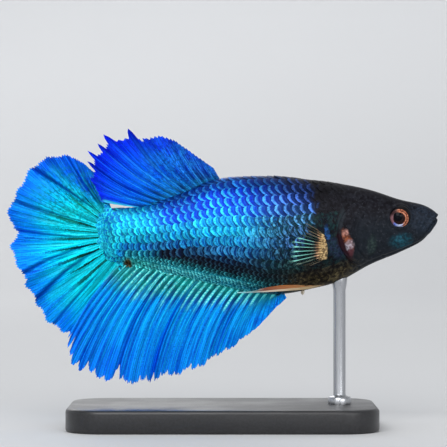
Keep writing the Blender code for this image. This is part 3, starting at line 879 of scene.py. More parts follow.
def scale_material():
    shine = {"metallic": 0.6, "coat_weight": 0.03, "coat_roughness": 0.2, "specular_ior_level": 0.12}
    paint = Paint("betta_scales", **shine)
    middle, edge, head, (x, z, around, noise, fine) = markings(paint)
    along, across = paint.uv("ScaleUV")
    grain = paint.attribute("grain")
    side = (across - 0.5).size()
    streak = paint.noise(paint.joined(across * 7, along * 2.2, grain * 60), 1.0, 3.0, 0.6)
    sparkle = paint.noise(paint.joined(x, z, around * 9), 5.0, 2.0)
    # the bright free edge, and the fine ribs of the blade
    wavy = along + (streak - 0.5) * 0.14 + (across - 0.5) * 0.08
    rim = paint.rise(wavy, 0.74, 0.87) * paint.rise(side, 0.5, 0.34, 0.3, 1.0)
    rim = rim * paint.rise(grain * 0.6 + (sparkle - 0.5) * 1.6, -0.2, 0.6, 0.45, 1.0)
    leaf = paint.rise(around, 0.38, 0.48) * paint.rise(around, 0.72, 0.62)
    ribs = paint.noise(paint.joined(across * 2, along * 8, grain * 60), 1.0, 2.0, 0.6)
    lit = paint.mix(paint.rise(ribs, 0.46, 0.6) * (leaf * 0.75 + 0.1), middle, edge)
    lit = paint.shade(lit, paint.rise(ribs, 0.5, 0.36) * leaf * -0.45 + 1)
    colour = paint.mix(rim, lit, edge)
    # painted shade: the shadow that the scale in front casts over this one's root, and shade in the gaps
    # between the rows
    root = paint.rise(along, 0.58, 0.48) * paint.rise(x, -15.6, -13.8, 0.3, 1.0)
    root = root * paint.rise(around, 0.3, 0.5, 0.45, 0.9)
    colour = paint.mix(root * paint.rise(head, 0.0, 1.0, 0.85, 0.2), colour, paint.shade(middle, 0.22))
    # painted shade in the gaps between the rows
    gap = paint.rise(side, 0.3, 0.44) * paint.rise(around, 0.44, 0.56) * paint.rise(around, 0.76, 0.7)
    colour = paint.mix(gap * 0.75, colour, paint.shade(middle, 0.2))
    # each scale is lighter or darker than the next
    belly = paint.rise(around, 0.8, 0.86)
    lively = grain * (belly * 1.1 + 0.4) + (noise - 0.5) * 1.2 + (sparkle - 0.5) * 1.6 + 0.15
    colour = paint.shade(colour, paint.rise(lively, 0.0, 1.1, 0.62, 1.28))
    # the front of the flank is worn into specks
    worn = paint.rise(x, 1.0, 8.0) * paint.rise(around, 0.3, 0.42) * paint.rise(around, 0.8, 0.7)
    crackle = paint.noise(paint.joined(x * 1.6, z, around * 3), 2.3, 3.0, 0.7)
    colour = paint.mix(worn * paint.rise(fine, 0.42, 0.6) * 0.4, colour, rgb(14, 66, 64))
    colour = paint.mix(worn * paint.rise(crackle, 0.47, 0.56) * 0.8, colour, rgb(6, 16, 26))
    colour = head_colour(paint, colour, x, z, around, noise, fine)
    ridges = (along * 46 + side * 6).sine() * 0.5
    return paint.finish(
        base_color=colour,
        roughness=paint.rise(head, 0.0, 1.0, 0.42, 0.5),
        normal=paint.bump(ridges, 0.12, 0.02),
    )


class BETTA_OT_scales(bpy.types.Operator):
    """Cover the body with overlapping scales, laid row by row over the skin"""

    bl_idname = "betta.scales"
    bl_label = "Scales"

    def execute(self, context):
        rng = np.random.default_rng(7)
        template = scale_template()
        material = scale_material()
        large, low = large_scales(), low_scales()
        for side, letter in SIDES:
            body_scales(f"flank_scales_{letter}", large, side, rng, template, material)
            body_scales(f"belly_scales_{letter}", low, side, rng, template, material)
            for name in ROOT_SCALES:
                root_scales(f"{name}_{letter}", side, rng, template, material)
        return {"FINISHED"}


# --- eyes -------------------------------------------------------------------

RING_CENTRE, RING_RADIUS = (22.76, 27.1), 1.22
PUPIL_CENTRE, PUPIL_RADIUS = (22.58, 27.34), 0.58


def eye_material():
    shine = {"coat_weight": 0.08, "coat_roughness": 0.05, "metallic": 0.2, "specular_ior_level": 0.06}
    paint = Paint("betta_eye", **shine)
    place = paint.place()
    x, _, z = paint.parts(place)
    dx, dz = x - RING_CENTRE[0], z - RING_CENTRE[1]
    ring = (dx * dx + dz * dz) ** 0.5 / RING_RADIUS
    px, pz = x - PUPIL_CENTRE[0], z - PUPIL_CENTRE[1]
    pupil = (px * px + pz * pz) ** 0.5 / PUPIL_RADIUS
    fleck = paint.noise(place, 5.0, 3.0)
    # the ring: copper, dim behind, with a pale blue glint below and a dark arc through it
    copper = paint.fade(fleck, 0.35, 0.65, rgb(120, 58, 38), colours().eye_ring)
    copper = paint.mix(paint.rise(dx, -0.1, -0.8) * 0.85, copper, rgb(150, 112, 124))
    glint = paint.rise(dz, -0.35, -0.65) * paint.rise(dx, 0.62, 0.3) * paint.rise(dx, -0.9, -0.5)
    pale = paint.fade(dx, -0.1, -0.6, rgb(206, 216, 255), rgb(120, 150, 255))
    copper = paint.mix(glint, copper, pale)
    dusk = paint.rise(dz, 0.1, 0.7) * paint.rise(dx, 0.1, -0.5)
    copper = paint.mix(dusk * 0.9, copper, rgb(40, 26, 26))
    double = paint.rise((ring - 0.82).size(), 0.07, 0.02) * paint.rise(dx, -0.2, 0.3)
    copper = paint.mix(double * 0.9, copper, rgb(44, 18, 14))
    # the dark rims inside and outside it, and the pupil
    copper = paint.fade(ring + (fleck - 0.5) * 0.12, 0.68, 0.6, copper, rgb(34, 18, 18))
    colour = paint.fade(ring, 0.95, 1.04, copper, rgb(18, 17, 20))
    colour = paint.fade(pupil, 1.04, 0.96, colour, rgb(4, 5, 12))
    return paint.finish(base_color=colour, roughness=paint.rise(pupil, 0.9, 1.1, 0.12, 0.35))


class BETTA_OT_eyes(bpy.types.Operator):
    """Set a ringed eyeball with a domed pupil into each orbit"""

    bl_idname = "betta.eyes"
    bl_label = "Eyes"

    def execute(self, context):
        material = eye_material()
        for side, letter in SIDES:
            low, high = node_box(f"eye_{letter}")
            centre, radii = (low + high) / 2, (high - low) / 2
            eye = unit_ball(f"eyeball_{letter}", 72, 48, rotation=(math.pi / 2, 0, 0))
            activate(eye)
            bpy.ops.object.transform_apply(rotation=True)
            unit = points_of(eye)
            middle = np.array((PUPIL_CENTRE[0] - centre[0], 0, PUPIL_CENTRE[1] - centre[2]))
            apart = np.linalg.norm((unit * radii - middle)[:, (0, 2)], axis=1)
            dome = 0.09 * smooth(apart, 0.85, 0.1) - 0.03 * bell(apart - 0.8, 0.12)
            points = centre + unit * radii
            points[:, 1] += side * dome * (unit[:, 1] * side > 0)
            put_points(eye, points)
            finish_piece(eye, material, [f"eye_{letter}"])
        return {"FINISHED"}


# --- median fins ------------------------------------------------------------

# The median fins.
# root: three places on the root line, which lies inside the body.
# margin: the line through the tips of the rays, as (share across the fin from the first ray to the
# last, x, z).
# lean: the slope of the first and of the last ray where they leave the body.
# spikes: how deep the margin is cut between the rays, at shares across the fin. tip_gap is how far
# apart the tips lie, and spike_width how far from its tip a spike ends.
# uneven: how much deeper the margin lies at some rays. tears: (share, depth, half width).
# sway: the share of the fin that stays in the midplane, how far the outer rays lie to the side, the
# height of the folds, how fast they follow each other, and where they start.
# forks: where along a ray it splits, and how far its branches part.
# grid: columns from each ray to the next, and rows from root to margin.
# serration: how far the web is cut back between the branches. pleat: how far the rays lie to one
# side and the web to the other.
# creases: (the share it starts from, the share it ends at, its half width, its height).
# lines: the dark ones between the rays: where along they begin to narrow and where that ends, how
# far from the ray they start at both (1 is the middle of the web), and how strong they are at both.
# line_colours: near the root and near the margin.
# beads: how strong the bright beads along the rays' roots are.
# lace: the centre, the radii, the light tint and the dark tint of the laced patch near the root.
# glow: how strong and how wide the light on the rays is, and its tint.
# hem: how strong the light edge along the last ray is.
# lead: how far across the tint of the first rays reaches, how strong it is, and the tint.
# tilt: how much nearer to the root the colours lie at the last ray than at the first.
# parting: the shares between which the first side's colours give way to the last side's.
# first, last: the colours of the rays and of the web on those sides, from root to margin.
FINS = {
    "dorsal_fin": {
        "root": ((0.1, 31.6), (-4.2, 30.2), (-9.4, 28.4)),
        "margin": (
            (0.0, -1.2, 33.7), (0.16, -4.4, 36.1), (0.28, -6.8, 37.7), (0.36, -8.8, 38.05),
            (0.42, -10.4, 37.75), (0.5, -12.45, 39.1), (0.583, -15.7, 38.3), (0.667, -16.5, 37.1),
            (0.75, -17.8, 36.15), (0.833, -17.8, 34.75), (0.917, -17.4, 32.4), (1.0, -15.9, 29.3),
        ),
        "lean": (math.radians(56), math.radians(4)), "rays": 13,
        "spikes": (
            (0.0, 0.015), (0.42, 0.02), (0.45, 0.1), (0.54, 0.12), (0.6, 0.1), (0.85, 0.11),
            (0.92, 0.05), (1.0, 0.02),
        ),
        "spike_width": 0.42, "tip_gap": 1.6, "uneven": 0.0, "tears": (),
        "sway": (0.0, -0.7, 0.25, 9.0, 0.0), "forks": ((0.3, 0.25), (0.62, 0.125)), "grid": (26, 84),
        "serration": 0.3, "pleat": 0.1,
        "creases": (
            (0.12, 0.1, 0.02, 0.15), (0.3, 0.27, 0.022, 0.15), (0.52, 0.5, 0.02, 0.15),
            (0.8, 0.83, 0.02, 0.15),
        ),
        "lines": (0.1, 0.6, 0.5, 0.85, 0.85, 0.3), "line_colours": (rgb(4, 34, 70), rgb(2, 30, 160)),
        "beads": 0.0, "lace": ((-4.0, 33.8), (5.0, 3.6), rgb(30, 150, 200), rgb(4, 20, 90)),
        "glow": (0.75, 0.34, rgb(50, 160, 250)), "hem": 1.0, "lead": (0.14, 0.5, rgb(14, 84, 130)),
        "tilt": 0.0, "parting": (0.12, 0.52),
        "first": (
            stops((0.0, 60, 170, 180), (0.2, 36, 130, 190), (0.5, 36, 120, 228), (1.0, 30, 106, 238)),
            stops((0.0, 2, 60, 90), (0.3, 4, 50, 124), (0.6, 4, 48, 164), (1.0, 2, 40, 186)),
        ),
        "last": (
            stops(
                (0.0, 16, 150, 210), (0.25, 10, 140, 236), (0.5, 8, 132, 248), (0.75, 6, 100, 250),
                (1.0, 4, 60, 248),
            ),
            stops(
                (0.0, 2, 80, 130), (0.25, 2, 92, 215), (0.5, 2, 86, 236), (0.75, 1, 58, 230),
                (1.0, 0, 16, 208),
            ),
        ),
    },
    "anal_fin": {
        "root": ((8.2, 17.9), (-2.2, 20.1), (-12.4, 22.0)),
        "margin": (
            (0.0, 8.35, 16.8), (0.06, 3.7, 11.9), (0.16, -0.5, 8.9), (0.28, -3.9, 6.9),
            (0.42, -7.4, 5.9), (0.57, -10.7, 5.0), (0.67, -13.4, 5.2), (0.76, -16.4, 5.5),
            (0.86, -19.3, 6.9), (0.92, -20.4, 8.4), (1.0, -20.3, 11.2),
        ),
        "lean": (math.radians(-44), math.radians(-40)), "rays": 26,
        "spikes": ((0.0, 0.04), (0.06, 0.015), (0.68, 0.018), (0.8, 0.05), (1.0, 0.055)),
        "spike_width": 0.75, "tip_gap": 1.5, "uneven": 0.035,
        "tears": ((0.688, 0.09, 0.012), (0.5, 0.05, 0.012), (0.3, 0.02, 0.01), (0.94, 0.05, 0.012)),
        "sway": (0.0, -0.75, 0.35, 17.0, 0.0), "forks": ((0.45, 0.25), (0.75, 0.125)),
        "grid": (16, 104), "serration": 0.42, "pleat": 0.08,
        "creases": (
            (0.2, 0.18, 0.01, 0.15), (0.36, 0.37, 0.01, 0.2), (0.5, 0.5, 0.008, 0.3),
            (0.688, 0.688, 0.009, 0.35), (0.86, 0.84, 0.009, 0.2),
        ),
        "lines": (0.25, 0.5, 0.46, 0.86, 0.95, 0.7), "line_colours": (rgb(0, 56, 72), rgb(1, 40, 170)),
        "beads": 1.0, "lace": ((-3.0, 19.4), (12.0, 1.6), rgb(24, 190, 170), rgb(4, 72, 76)),
        "glow": (0.0, 0.3, rgb(60, 190, 250)), "hem": 0.0, "lead": (0.17, 0.9, rgb(10, 112, 136)),
        "tilt": 0.08, "parting": (0.2, 0.5),
        "first": (
            stops(
                (0.0, 20, 120, 130), (0.1, 40, 150, 160), (0.31, 96, 224, 244), (0.41, 16, 186, 250),
                (1.0, 12, 174, 254),
            ),
            stops(
                (0.0, 8, 100, 110), (0.15, 4, 100, 130), (0.31, 2, 110, 186), (0.44, 2, 130, 235),
                (1.0, 2, 120, 240),
            ),
        ),
        "last": (
            stops(
                (0.0, 60, 190, 190), (0.08, 110, 240, 240), (0.32, 90, 226, 246), (0.42, 16, 194, 252),
                (0.7, 12, 182, 254), (1.0, 12, 152, 252),
            ),
            stops(
                (0.0, 8, 110, 120), (0.12, 4, 104, 136), (0.34, 2, 116, 190), (0.44, 1, 136, 235),
                (0.7, 1, 124, 240), (1.0, 1, 102, 236),
            ),
        ),
    },
    "caudal_fin": {
        "root": ((-14.3, 28.2), (-15.2, 25.0), (-12.7, 21.5)),
        "margin": (
            (0.0, -15.4, 31.9), (0.05, -17.4, 33.9), (0.12, -19.6, 35.5), (0.17, -21.8, 35.7),
            (0.27, -25.1, 34.2), (0.37, -27.4, 30.6), (0.45, -28.3, 27.3), (0.51, -27.3, 25.5),
            (0.57, -28.2, 23.5), (0.66, -26.8, 20.3), (0.75, -25.4, 16.9), (0.85, -23.4, 13.7),
            (0.93, -21.1, 12.0), (1.0, -18.8, 11.4),
        ),
        "lean": (math.radians(62), math.radians(-66)), "rays": 15,
        "spikes": ((0.0, 0.02), (0.5, 0.03), (1.0, 0.035)), "spike_width": 0.8, "tip_gap": 2.1,
        "uneven": 0.015, "tears": ((0.51, 0.02, 0.012), (0.22, 0.015, 0.01), (0.7, 0.02, 0.01)),
        "sway": (0.5, 0.95, 0.55, 25.0, 0.6), "forks": ((0.18, 0.25), (0.45, 0.125), (0.7, 0.0625)),
        "grid": (30, 96), "serration": 0.34, "pleat": 0.1,
        "creases": (
            (0.1, 0.14, 0.01, 0.25), (0.17, 0.27, 0.012, 0.35), (0.36, 0.39, 0.01, 0.2),
            (0.52, 0.5, 0.01, 0.2), (0.58, 0.67, 0.011, 0.3), (0.66, 0.77, 0.012, 0.35),
            (0.84, 0.88, 0.01, 0.25),
        ),
        "lines": (0.3, 0.8, 0.7, 0.88, 1.0, 0.6), "line_colours": (rgb(0, 48, 40), rgb(2, 54, 150)),
        "beads": 0.0, "lace": ((-19.6, 29.4), (3.8, 3.4), rgb(24, 200, 180), rgb(4, 96, 104)),
        "glow": (0.3, 0.25, rgb(90, 240, 240)), "hem": 0.0, "lead": (0.1, 0.3, rgb(10, 90, 210)),
        "tilt": -0.24, "parting": (0.08, 0.3),
        "first": (
            stops((0.0, 16, 204, 222), (0.3, 12, 192, 218), (0.55, 4, 98, 242), (1.0, 6, 90, 246)),
            stops((0.0, 0, 140, 144), (0.3, 2, 146, 180), (0.55, 1, 76, 208), (1.0, 1, 52, 210)),
        ),
        "last": (
            stops(
                (0.0, 24, 218, 236), (0.45, 6, 228, 252), (0.62, 6, 216, 252), (0.8, 4, 174, 252),
                (1.0, 14, 146, 254),
            ),
            stops(
                (0.0, 0, 170, 186), (0.45, 0, 208, 232), (0.62, 0, 184, 236), (0.8, 0, 128, 240),
                (1.0, 0, 96, 238),
            ),
        ),
    },
}
RAY_BEND = 0.45  # where along a ray it turns from its lean towards its tip
FIN_CURL = 1.5  # the power with which a fin sways from root to margin
THICKNESS_STEPS = 100  # steps of thickness that a fin is made in


def to_ray(fin, share, along):
    """How far a point lies from the nearest branch of a ray, where the rays lie 1 apart."""
    count = share * (fin["rays"] - 1)
    apart = np.abs(count - np.round(count))
    for start, spread in fin["forks"]:
        apart = np.abs(apart - spread * smooth(along, start, start + 0.4))
    return apart


def fin_line(fin, share, along):
    """The x and z of a median fin's point: share runs across the rays, along from root to margin."""
    front, middle, rear = (np.array(p) for p in fin["root"])
    s = share[:, None]
    bow = 2 * middle - (front + rear) / 2
    root = front * (1 - s) ** 2 + 2 * bow * s * (1 - s) + rear * s**2
    margin = np.array(fin["margin"])
    tip = through(margin[:, 1:], np.interp(share, margin[:, 0], np.arange(len(margin))))
    lean = np.interp(share, (0, 1), fin["lean"])
    heading = np.stack([-np.cos(lean), np.sin(lean)], axis=-1)
    length = np.linalg.norm(tip - root, axis=-1)[:, None]
    bend = root + heading * length * RAY_BEND
    count = share * (fin["rays"] - 1)
    off = np.abs(count - np.round(count)) * fin["tip_gap"] / fin["spike_width"]
    depth = np.interp(share, *zip(*fin["spikes"])) * (1 - np.maximum(1 - off, 0) ** 1.2)
    wild = np.sin(7.3 * np.round(count)) ** 2 + 0.5 * np.sin(3.7 * np.round(count * 4)) ** 2
    depth += fin["uneven"] * wild
    for place, cut, half in fin["tears"]:
        depth += cut * np.maximum(1 - np.abs(share - place) / half, 0)
    narrowest = 0.5 ** (len(fin["forks"]) + 1)
    saw = np.minimum(to_ray(fin, share, np.ones_like(share)) / narrowest, 1) ** 0.8
    reach = 1 - depth - fin["serration"] * saw * smooth(share, 0.0, 0.12) / length[:, 0]
    a = (along * reach)[:, None]
    return root * (1 - a) ** 2 + 2 * bend * a * (1 - a) + tip * a**2


def creases(fin, share, along):
    """For each crease, how far a point lies across it, in half widths, and its height there."""
    for begins, ends, half, rise in fin["creases"]:
        off = (share - begins - (ends - begins) * along) / half
        yield off, rise * smooth(along, 0.08, 0.5)


def fin_side(fin, share, along):
    """How far a median fin's point lies to the side: its sway, its pleats and its creases."""
    still, side, height, pace, start = fin["sway"]
    edge = ((share - still) / (1 - still)) ** 2
    sway = along**FIN_CURL * (side * edge + height * np.sin(pace * share + start) * (1 - edge))
    count = share * (fin["rays"] - 1)
    pleat = fin["pleat"] * np.sin(math.pi * along / 1.15) * np.cos(2 * math.pi * count)
    for off, rise in creases(fin, share, along):
        sway = sway + rise * off * np.exp(0.5 - off**2 / 2)
    return sway + pleat


def sheet_piece(name, columns, rows, rule):
    """A fin from a grid. rule gives, for shares across and along the fin, the points, the thickness
    there in millimetres, how close each point is to a ray, and how deep it lies in a crease."""
    add = bpy.ops.mesh.primitive_grid_add
    sheet = primitive(add, name, x_subdivisions=columns, y_subdivisions=rows, size=2)
    flat = points_of(sheet)
    share, along = (flat[:, 0] + 1) / 2, (flat[:, 1] + 1) / 2
    points, thickness, ray, fold = rule(share, along)
    put_points(sheet, points)
    put_attribute(sheet, "ray", ray)
    # how deep each point lies in a crease, which the paint darkens as painted shade
    put_attribute(sheet, "fold", fold)
    sheet.data.uv_layers[0].name = "FinUV"
    group = sheet.vertex_groups.new(name="thickness")
    most = float(thickness.max())
    steps = np.round(thickness / most * THICKNESS_STEPS)
    for step in range(THICKNESS_STEPS + 1):
        chosen = np.nonzero(steps == step)[0]
        group.add(chosen.tolist(), step / THICKNESS_STEPS, "REPLACE")
    use_modifier(sheet, "SOLIDIFY", thickness=most * MM, offset=0, vertex_group="thickness")
    sheet.vertex_groups.clear()
    return sheet


def median_rule(fin):
    """The rule by which sheet_piece shapes a median fin."""

    def rule(share, along):
        x, z = fin_line(fin, share, along).T
        step = 0.002
        ahead, behind = np.minimum(share + step, 1), np.maximum(share - step, 0)
        gap = fin_line(fin, ahead, along * 0.97) - fin_line(fin, behind, along * 0.97)
        spacing = np.linalg.norm(gap, axis=1) / ((ahead - behind) * (fin["rays"] - 1))
        width = np.interp(along, (0, 0.4, 1), (0.13, 0.1, 0.055))
        ray = bell(to_ray(fin, share, along) * spacing, width)
        edge = np.minimum(share, 1 - share) * (fin["rays"] - 1) * spacing
        ray = np.maximum(ray, bell(edge, 0.12))
        web = np.interp(along, (0, 0.15, 1), (0.34, 0.09, 0.06))
        bone = np.interp(along, (0, 0.15, 0.6, 1), (0.5, 0.3, 0.18, 0.09))
        thickness = web + (bone - web) * ray
        # the crease depth, which the paint darkens as painted shade in the creases
        fold = np.zeros_like(share)
        for off, rise in creases(fin, share, along):
            fold = np.maximum(fold, bell(off, 0.5) * rise / 0.35)
        return np.stack([x, fin_side(fin, share, along), z], -1), thickness, ray, fold

    return rule


def fin_material(name, fin):
    """The rays and the web, then the lights and darks over them: strands, lines, glow, the front rays,
    the last edge, beads on the rays' roots, lace near the root, painted shade in the creases, and ray
    tips."""
    paint = Paint(f"betta_{name}", metallic=0.45, specular_ior_level=0.06)
    share, along = paint.uv("FinUV")
    ray, fold = paint.attribute("ray"), paint.attribute("fold")
    place = paint.place()
    x, _, z = paint.parts(place)
    count = share * (fin["rays"] - 1)
    streak = paint.noise(paint.joined(count * 3.4, along * 2.6, 0.0), 1.0, 4.0, 0.65)
    broad = paint.noise(place, 0.5, 3.0)
    grain = paint.noise(place, 5.5, 2.0, 0.7)
    web = paint.chance(count.floor())
    branch = paint.chance((count * 4 + 0.5).floor() + 100)

    far = along + (streak - 0.5) * 0.18 + (broad - 0.5) * 0.3 + (share - 0.5) * fin["tilt"]
    far = far + (branch - 0.5) * 0.1
    last = paint.rise(share + (streak - 0.5) * 0.12 + (broad - 0.5) * 0.2, *fin["parting"])
    both = zip(fin["first"], fin["last"])
    rays, webs = (paint.mix(last, paint.ramp(far, one), paint.ramp(far, other)) for one, other in both)
    webs = paint.mix(paint.rise(streak, 0.42, 0.62) * 0.5, webs, rays)
    colour = paint.mix(paint.rise(ray, 0.25, 0.8) * paint.rise(along, 0.3, 0.9, 1.0, 0.6), webs, rays)
    light = streak - 0.5 + (grain - 0.5) * 1.3
    light = light + (branch - 0.5) * paint.rise(along, 0.2, 0.6) * 0.5
    colour = paint.shade(colour, paint.rise(light, -0.5, 0.5, 0.66, 1.2))
    strand = paint.pingpong(count * 4)
    hair = paint.rise(strand + (streak - 0.5) * 0.8, 0.66, 0.9) * paint.rise(along, 0.3, 0.55)
    colour = paint.shade(colour, hair * -0.36 + 1)

    begins, ends, near, apart, strong, weak = fin["lines"]
    middle = paint.pingpong(count)
    edge = paint.rise(along, begins, ends, near, apart) + (web - 0.5) * 0.36
    edge = edge + (streak - 0.5) * 0.5 + (grain - 0.5) * 0.4
    line = paint.rise(middle - edge, -0.03, 0.06) * paint.rise(along, begins, ends, strong, weak)
    line = line * paint.rise(along, 0.02, 0.08) * paint.rise(along, 1.0, 0.9)
    line = line * paint.rise(web + (broad - 0.5) * 0.8, 0.1, 0.5, 0.45, 1.0)
    colour = paint.mix(line, colour, paint.fade(along, ends - 0.3, ends, *fin["line_colours"]))

    strength, width, tint = fin["glow"]
    glow = paint.rise(middle + (streak - 0.5) * 0.9, width, 0.0)
    glow = glow * paint.rise(web + (grain - 0.5) * 2.5, 0.0, 0.8) * paint.rise(share, 0.8, 0.4, 0.45, 1.0)
    colour = paint.mix(glow * paint.rise(along, 0.98, 0.45) * strength, colour, tint)
    reach, cover, lead_tint = fin["lead"]
    lead = paint.rise(share, reach, reach * 0.3) * paint.rise(along, 0.8, 0.25) * cover
    colour = paint.mix(lead, colour, paint.shade(lead_tint, streak * 0.8 + 0.6))
    hem = paint.rise(share, 0.975, 0.988) * paint.rise(along, 1.0, 0.9)
    colour = paint.mix(hem * fin["hem"] * 0.85, colour, rgb(60, 196, 226))

    bead = (along * 190 + web * 3).sine() * 0.5 + 0.5
    dash = paint.rise(middle, 0.5, 0.34) * paint.rise(along, 0.01, 0.06) * paint.rise(far, 0.38, 0.24)
    dash = dash * paint.rise(share, 0.98, 0.88) * fin["beads"]
    colour = paint.mix(dash * 0.8, colour, rgb(60, 220, 226))
    colour = paint.mix(dash * bead * paint.rise(middle, 0.4, 0.15), colour, rgb(160, 255, 250))

    centre, radii, light_tint, dark_tint = fin["lace"]
    lace = paint.noise(paint.joined(count * 5, along * 22, 4.0), 1.0, 2.0, 0.6)
    lace = paint.rise(lace, 0.48, 0.58) * paint.rise(grain, 0.3, 0.6, 0.2, 0.75)
    laced = paint.spot(x, z, centre, radii, 0.8)
    colour = paint.mix(laced * paint.rise(broad, 0.4, 0.6) * 0.3, colour, light_tint)
    colour = paint.mix(lace * laced, colour, dark_tint)
    # painted shade in the creases, in the dark line colour
    colour = paint.mix(fold.least(1.0) * 0.8, colour, fin["line_colours"][1])
    tip = paint.rise(along, 0.965, 1.0) * paint.rise(ray, 0.2, 0.8)
    colour = paint.mix(tip * 0.4, colour, rgb(120, 200, 250))
    joints = (along * 420).sine() * ray
    return paint.finish(
        base_color=colour,
        roughness=paint.rise(streak, 0.3, 0.7, 0.38, 0.52),
        normal=paint.bump(streak * 0.4 + grain * 0.2 + joints * 0.12, 0.25, 0.05),
    )


class BETTA_OT_median_fins(bpy.types.Operator):
    """Spread the dorsal, anal and tail fins over their forked rays"""

    bl_idname = "betta.median_fins"
    bl_label = "Dorsal, Anal and Tail Fins"

    def execute(self, context):
        for name, fin in FINS.items():
            per_ray, rows = fin["grid"]
            sheet = sheet_piece(f"{name}_sheet", per_ray * (fin["rays"] - 1), rows, median_rule(fin))
            finish_piece(sheet, fin_material(name, fin), [name], math.radians(60))
        return {"FINISHED"}


# --- paired fins ------------------------------------------------------------

PECTORAL_ROOT = (13.3, 3.2, 23.4)  # the middle of its root, on the left side
PECTORAL_ROOT_HALF = 1.45  # half the height of its root
# How long its rays are at shares across the fan, from the highest to the lowest.
PECTORAL_SHARES = (0.0, 0.2, 0.35, 0.5, 0.62, 0.75, 0.88, 1.0)
PECTORAL_LENGTHS = (4.0, 5.2, 5.8, 8.2, 9.2, 8.2, 5.6, 3.4)
PECTORAL_SWEEP = math.radians(46)  # how far it is turned out from the flank
PECTORAL_SPREAD = (math.radians(28), math.radians(-20))  # the slopes of its highest and lowest ray
PECTORAL_RAYS = 14
PECTORAL_CUP = 0.6  # how far its outer rays curl in
PECTORAL_NOTCH = 0.22  # how deep its margin is cut between two rays, for each mm of ray

# Each point of a pelvic fin's middle line is (x, y, z), half height there.
PELVIC_PATH = (
    ((13.6, 0.95, 18.95), 0.2),
    ((11.2, 1.5, 18.45), 0.34),
    ((8.2, 2.0, 18.15), 0.34),
    ((5.4, 2.12, 17.85), 0.24),
    ((3.5, 2.1, 17.68), 0.12),
    ((1.9, 2.05, 17.6), 0.07),
)
PELVIC_TOP_SIDE = 0.55  # how far its upper edge lies out to the side, for each mm of height
PELVIC_RAYS = 5


def pectoral_rule(side):
    """The rule by which sheet_piece shapes a pectoral fin."""

    def rule(share, along):
        count = share * (PECTORAL_RAYS - 1)
        apart = np.abs(count - np.round(count))
        turn = np.interp(share, (0, 1), PECTORAL_SPREAD)
        edge = (2 * share - 1) ** 2
        notch = PECTORAL_NOTCH * np.sin(math.pi * apart) ** 0.7
        uneven = 1 - 0.2 * np.sin(5.7 * np.round(count)) ** 2
        length = np.interp(share, PECTORAL_SHARES, PECTORAL_LENGTHS) * (1 - notch) * uneven
        out = along * length * np.cos(turn)
        lift = PECTORAL_ROOT_HALF * (1 - 2 * share) + along * length * np.sin(turn)
        cup = PECTORAL_CUP * along**2 * edge
        x = PECTORAL_ROOT[0] - out * math.cos(PECTORAL_SWEEP) - cup
        pleat = 0.05 * along * np.cos(2 * math.pi * count)
        y = PECTORAL_ROOT[1] + out * math.sin(PECTORAL_SWEEP) - cup + pleat
        z = PECTORAL_ROOT[2] + lift
        split = np.abs(apart - 0.14 * smooth(along, 0.7, 1.0))
        spacing = (2 * PECTORAL_ROOT_HALF + 1.3 * along * length) / (PECTORAL_RAYS - 1)
        ray = bell(split * spacing, np.interp(along, (0, 0.5, 1), (0.1, 0.06, 0.04)))
        lobe = smooth(along, 0.38, 0.14) * (1 - 0.5 * edge)
        thickness = 0.05 + 0.13 * ray * (1 - 0.6 * along) + 0.95 * lobe
        return np.stack([x, side * y, z], -1), thickness, ray, 0 * ray

    return rule


def pelvic_rule(side):
    """The rule by which sheet_piece shapes a pelvic fin."""

    def rule(share, along):
        path = through([p for p, _ in PELVIC_PATH], along * (len(PELVIC_PATH) - 1))
        half = through([(h,) for _, h in PELVIC_PATH], along * (len(PELVIC_PATH) - 1))[..., 0]
        count = share * (PELVIC_RAYS - 1)
        ray = bell(count - np.round(count), 0.26)
        shorter = 1 - 0.16 * share * smooth(along, 0.5, 1.0)
        rise = (2 * share - 1) * half
        y = path[..., 1] + PELVIC_TOP_SIDE * rise + 0.05 * np.cos(2 * math.pi * count) * along
        x = PELVIC_PATH[0][0][0] + (path[..., 0] - PELVIC_PATH[0][0][0]) * shorter
        thickness = np.interp(along, (0, 0.5, 1), (0.42, 0.24, 0.1)) * (0.45 + 0.55 * ray)
        return np.stack([x, side * y, path[..., 2] + rise], -1), thickness, ray, 0 * ray

    return rule


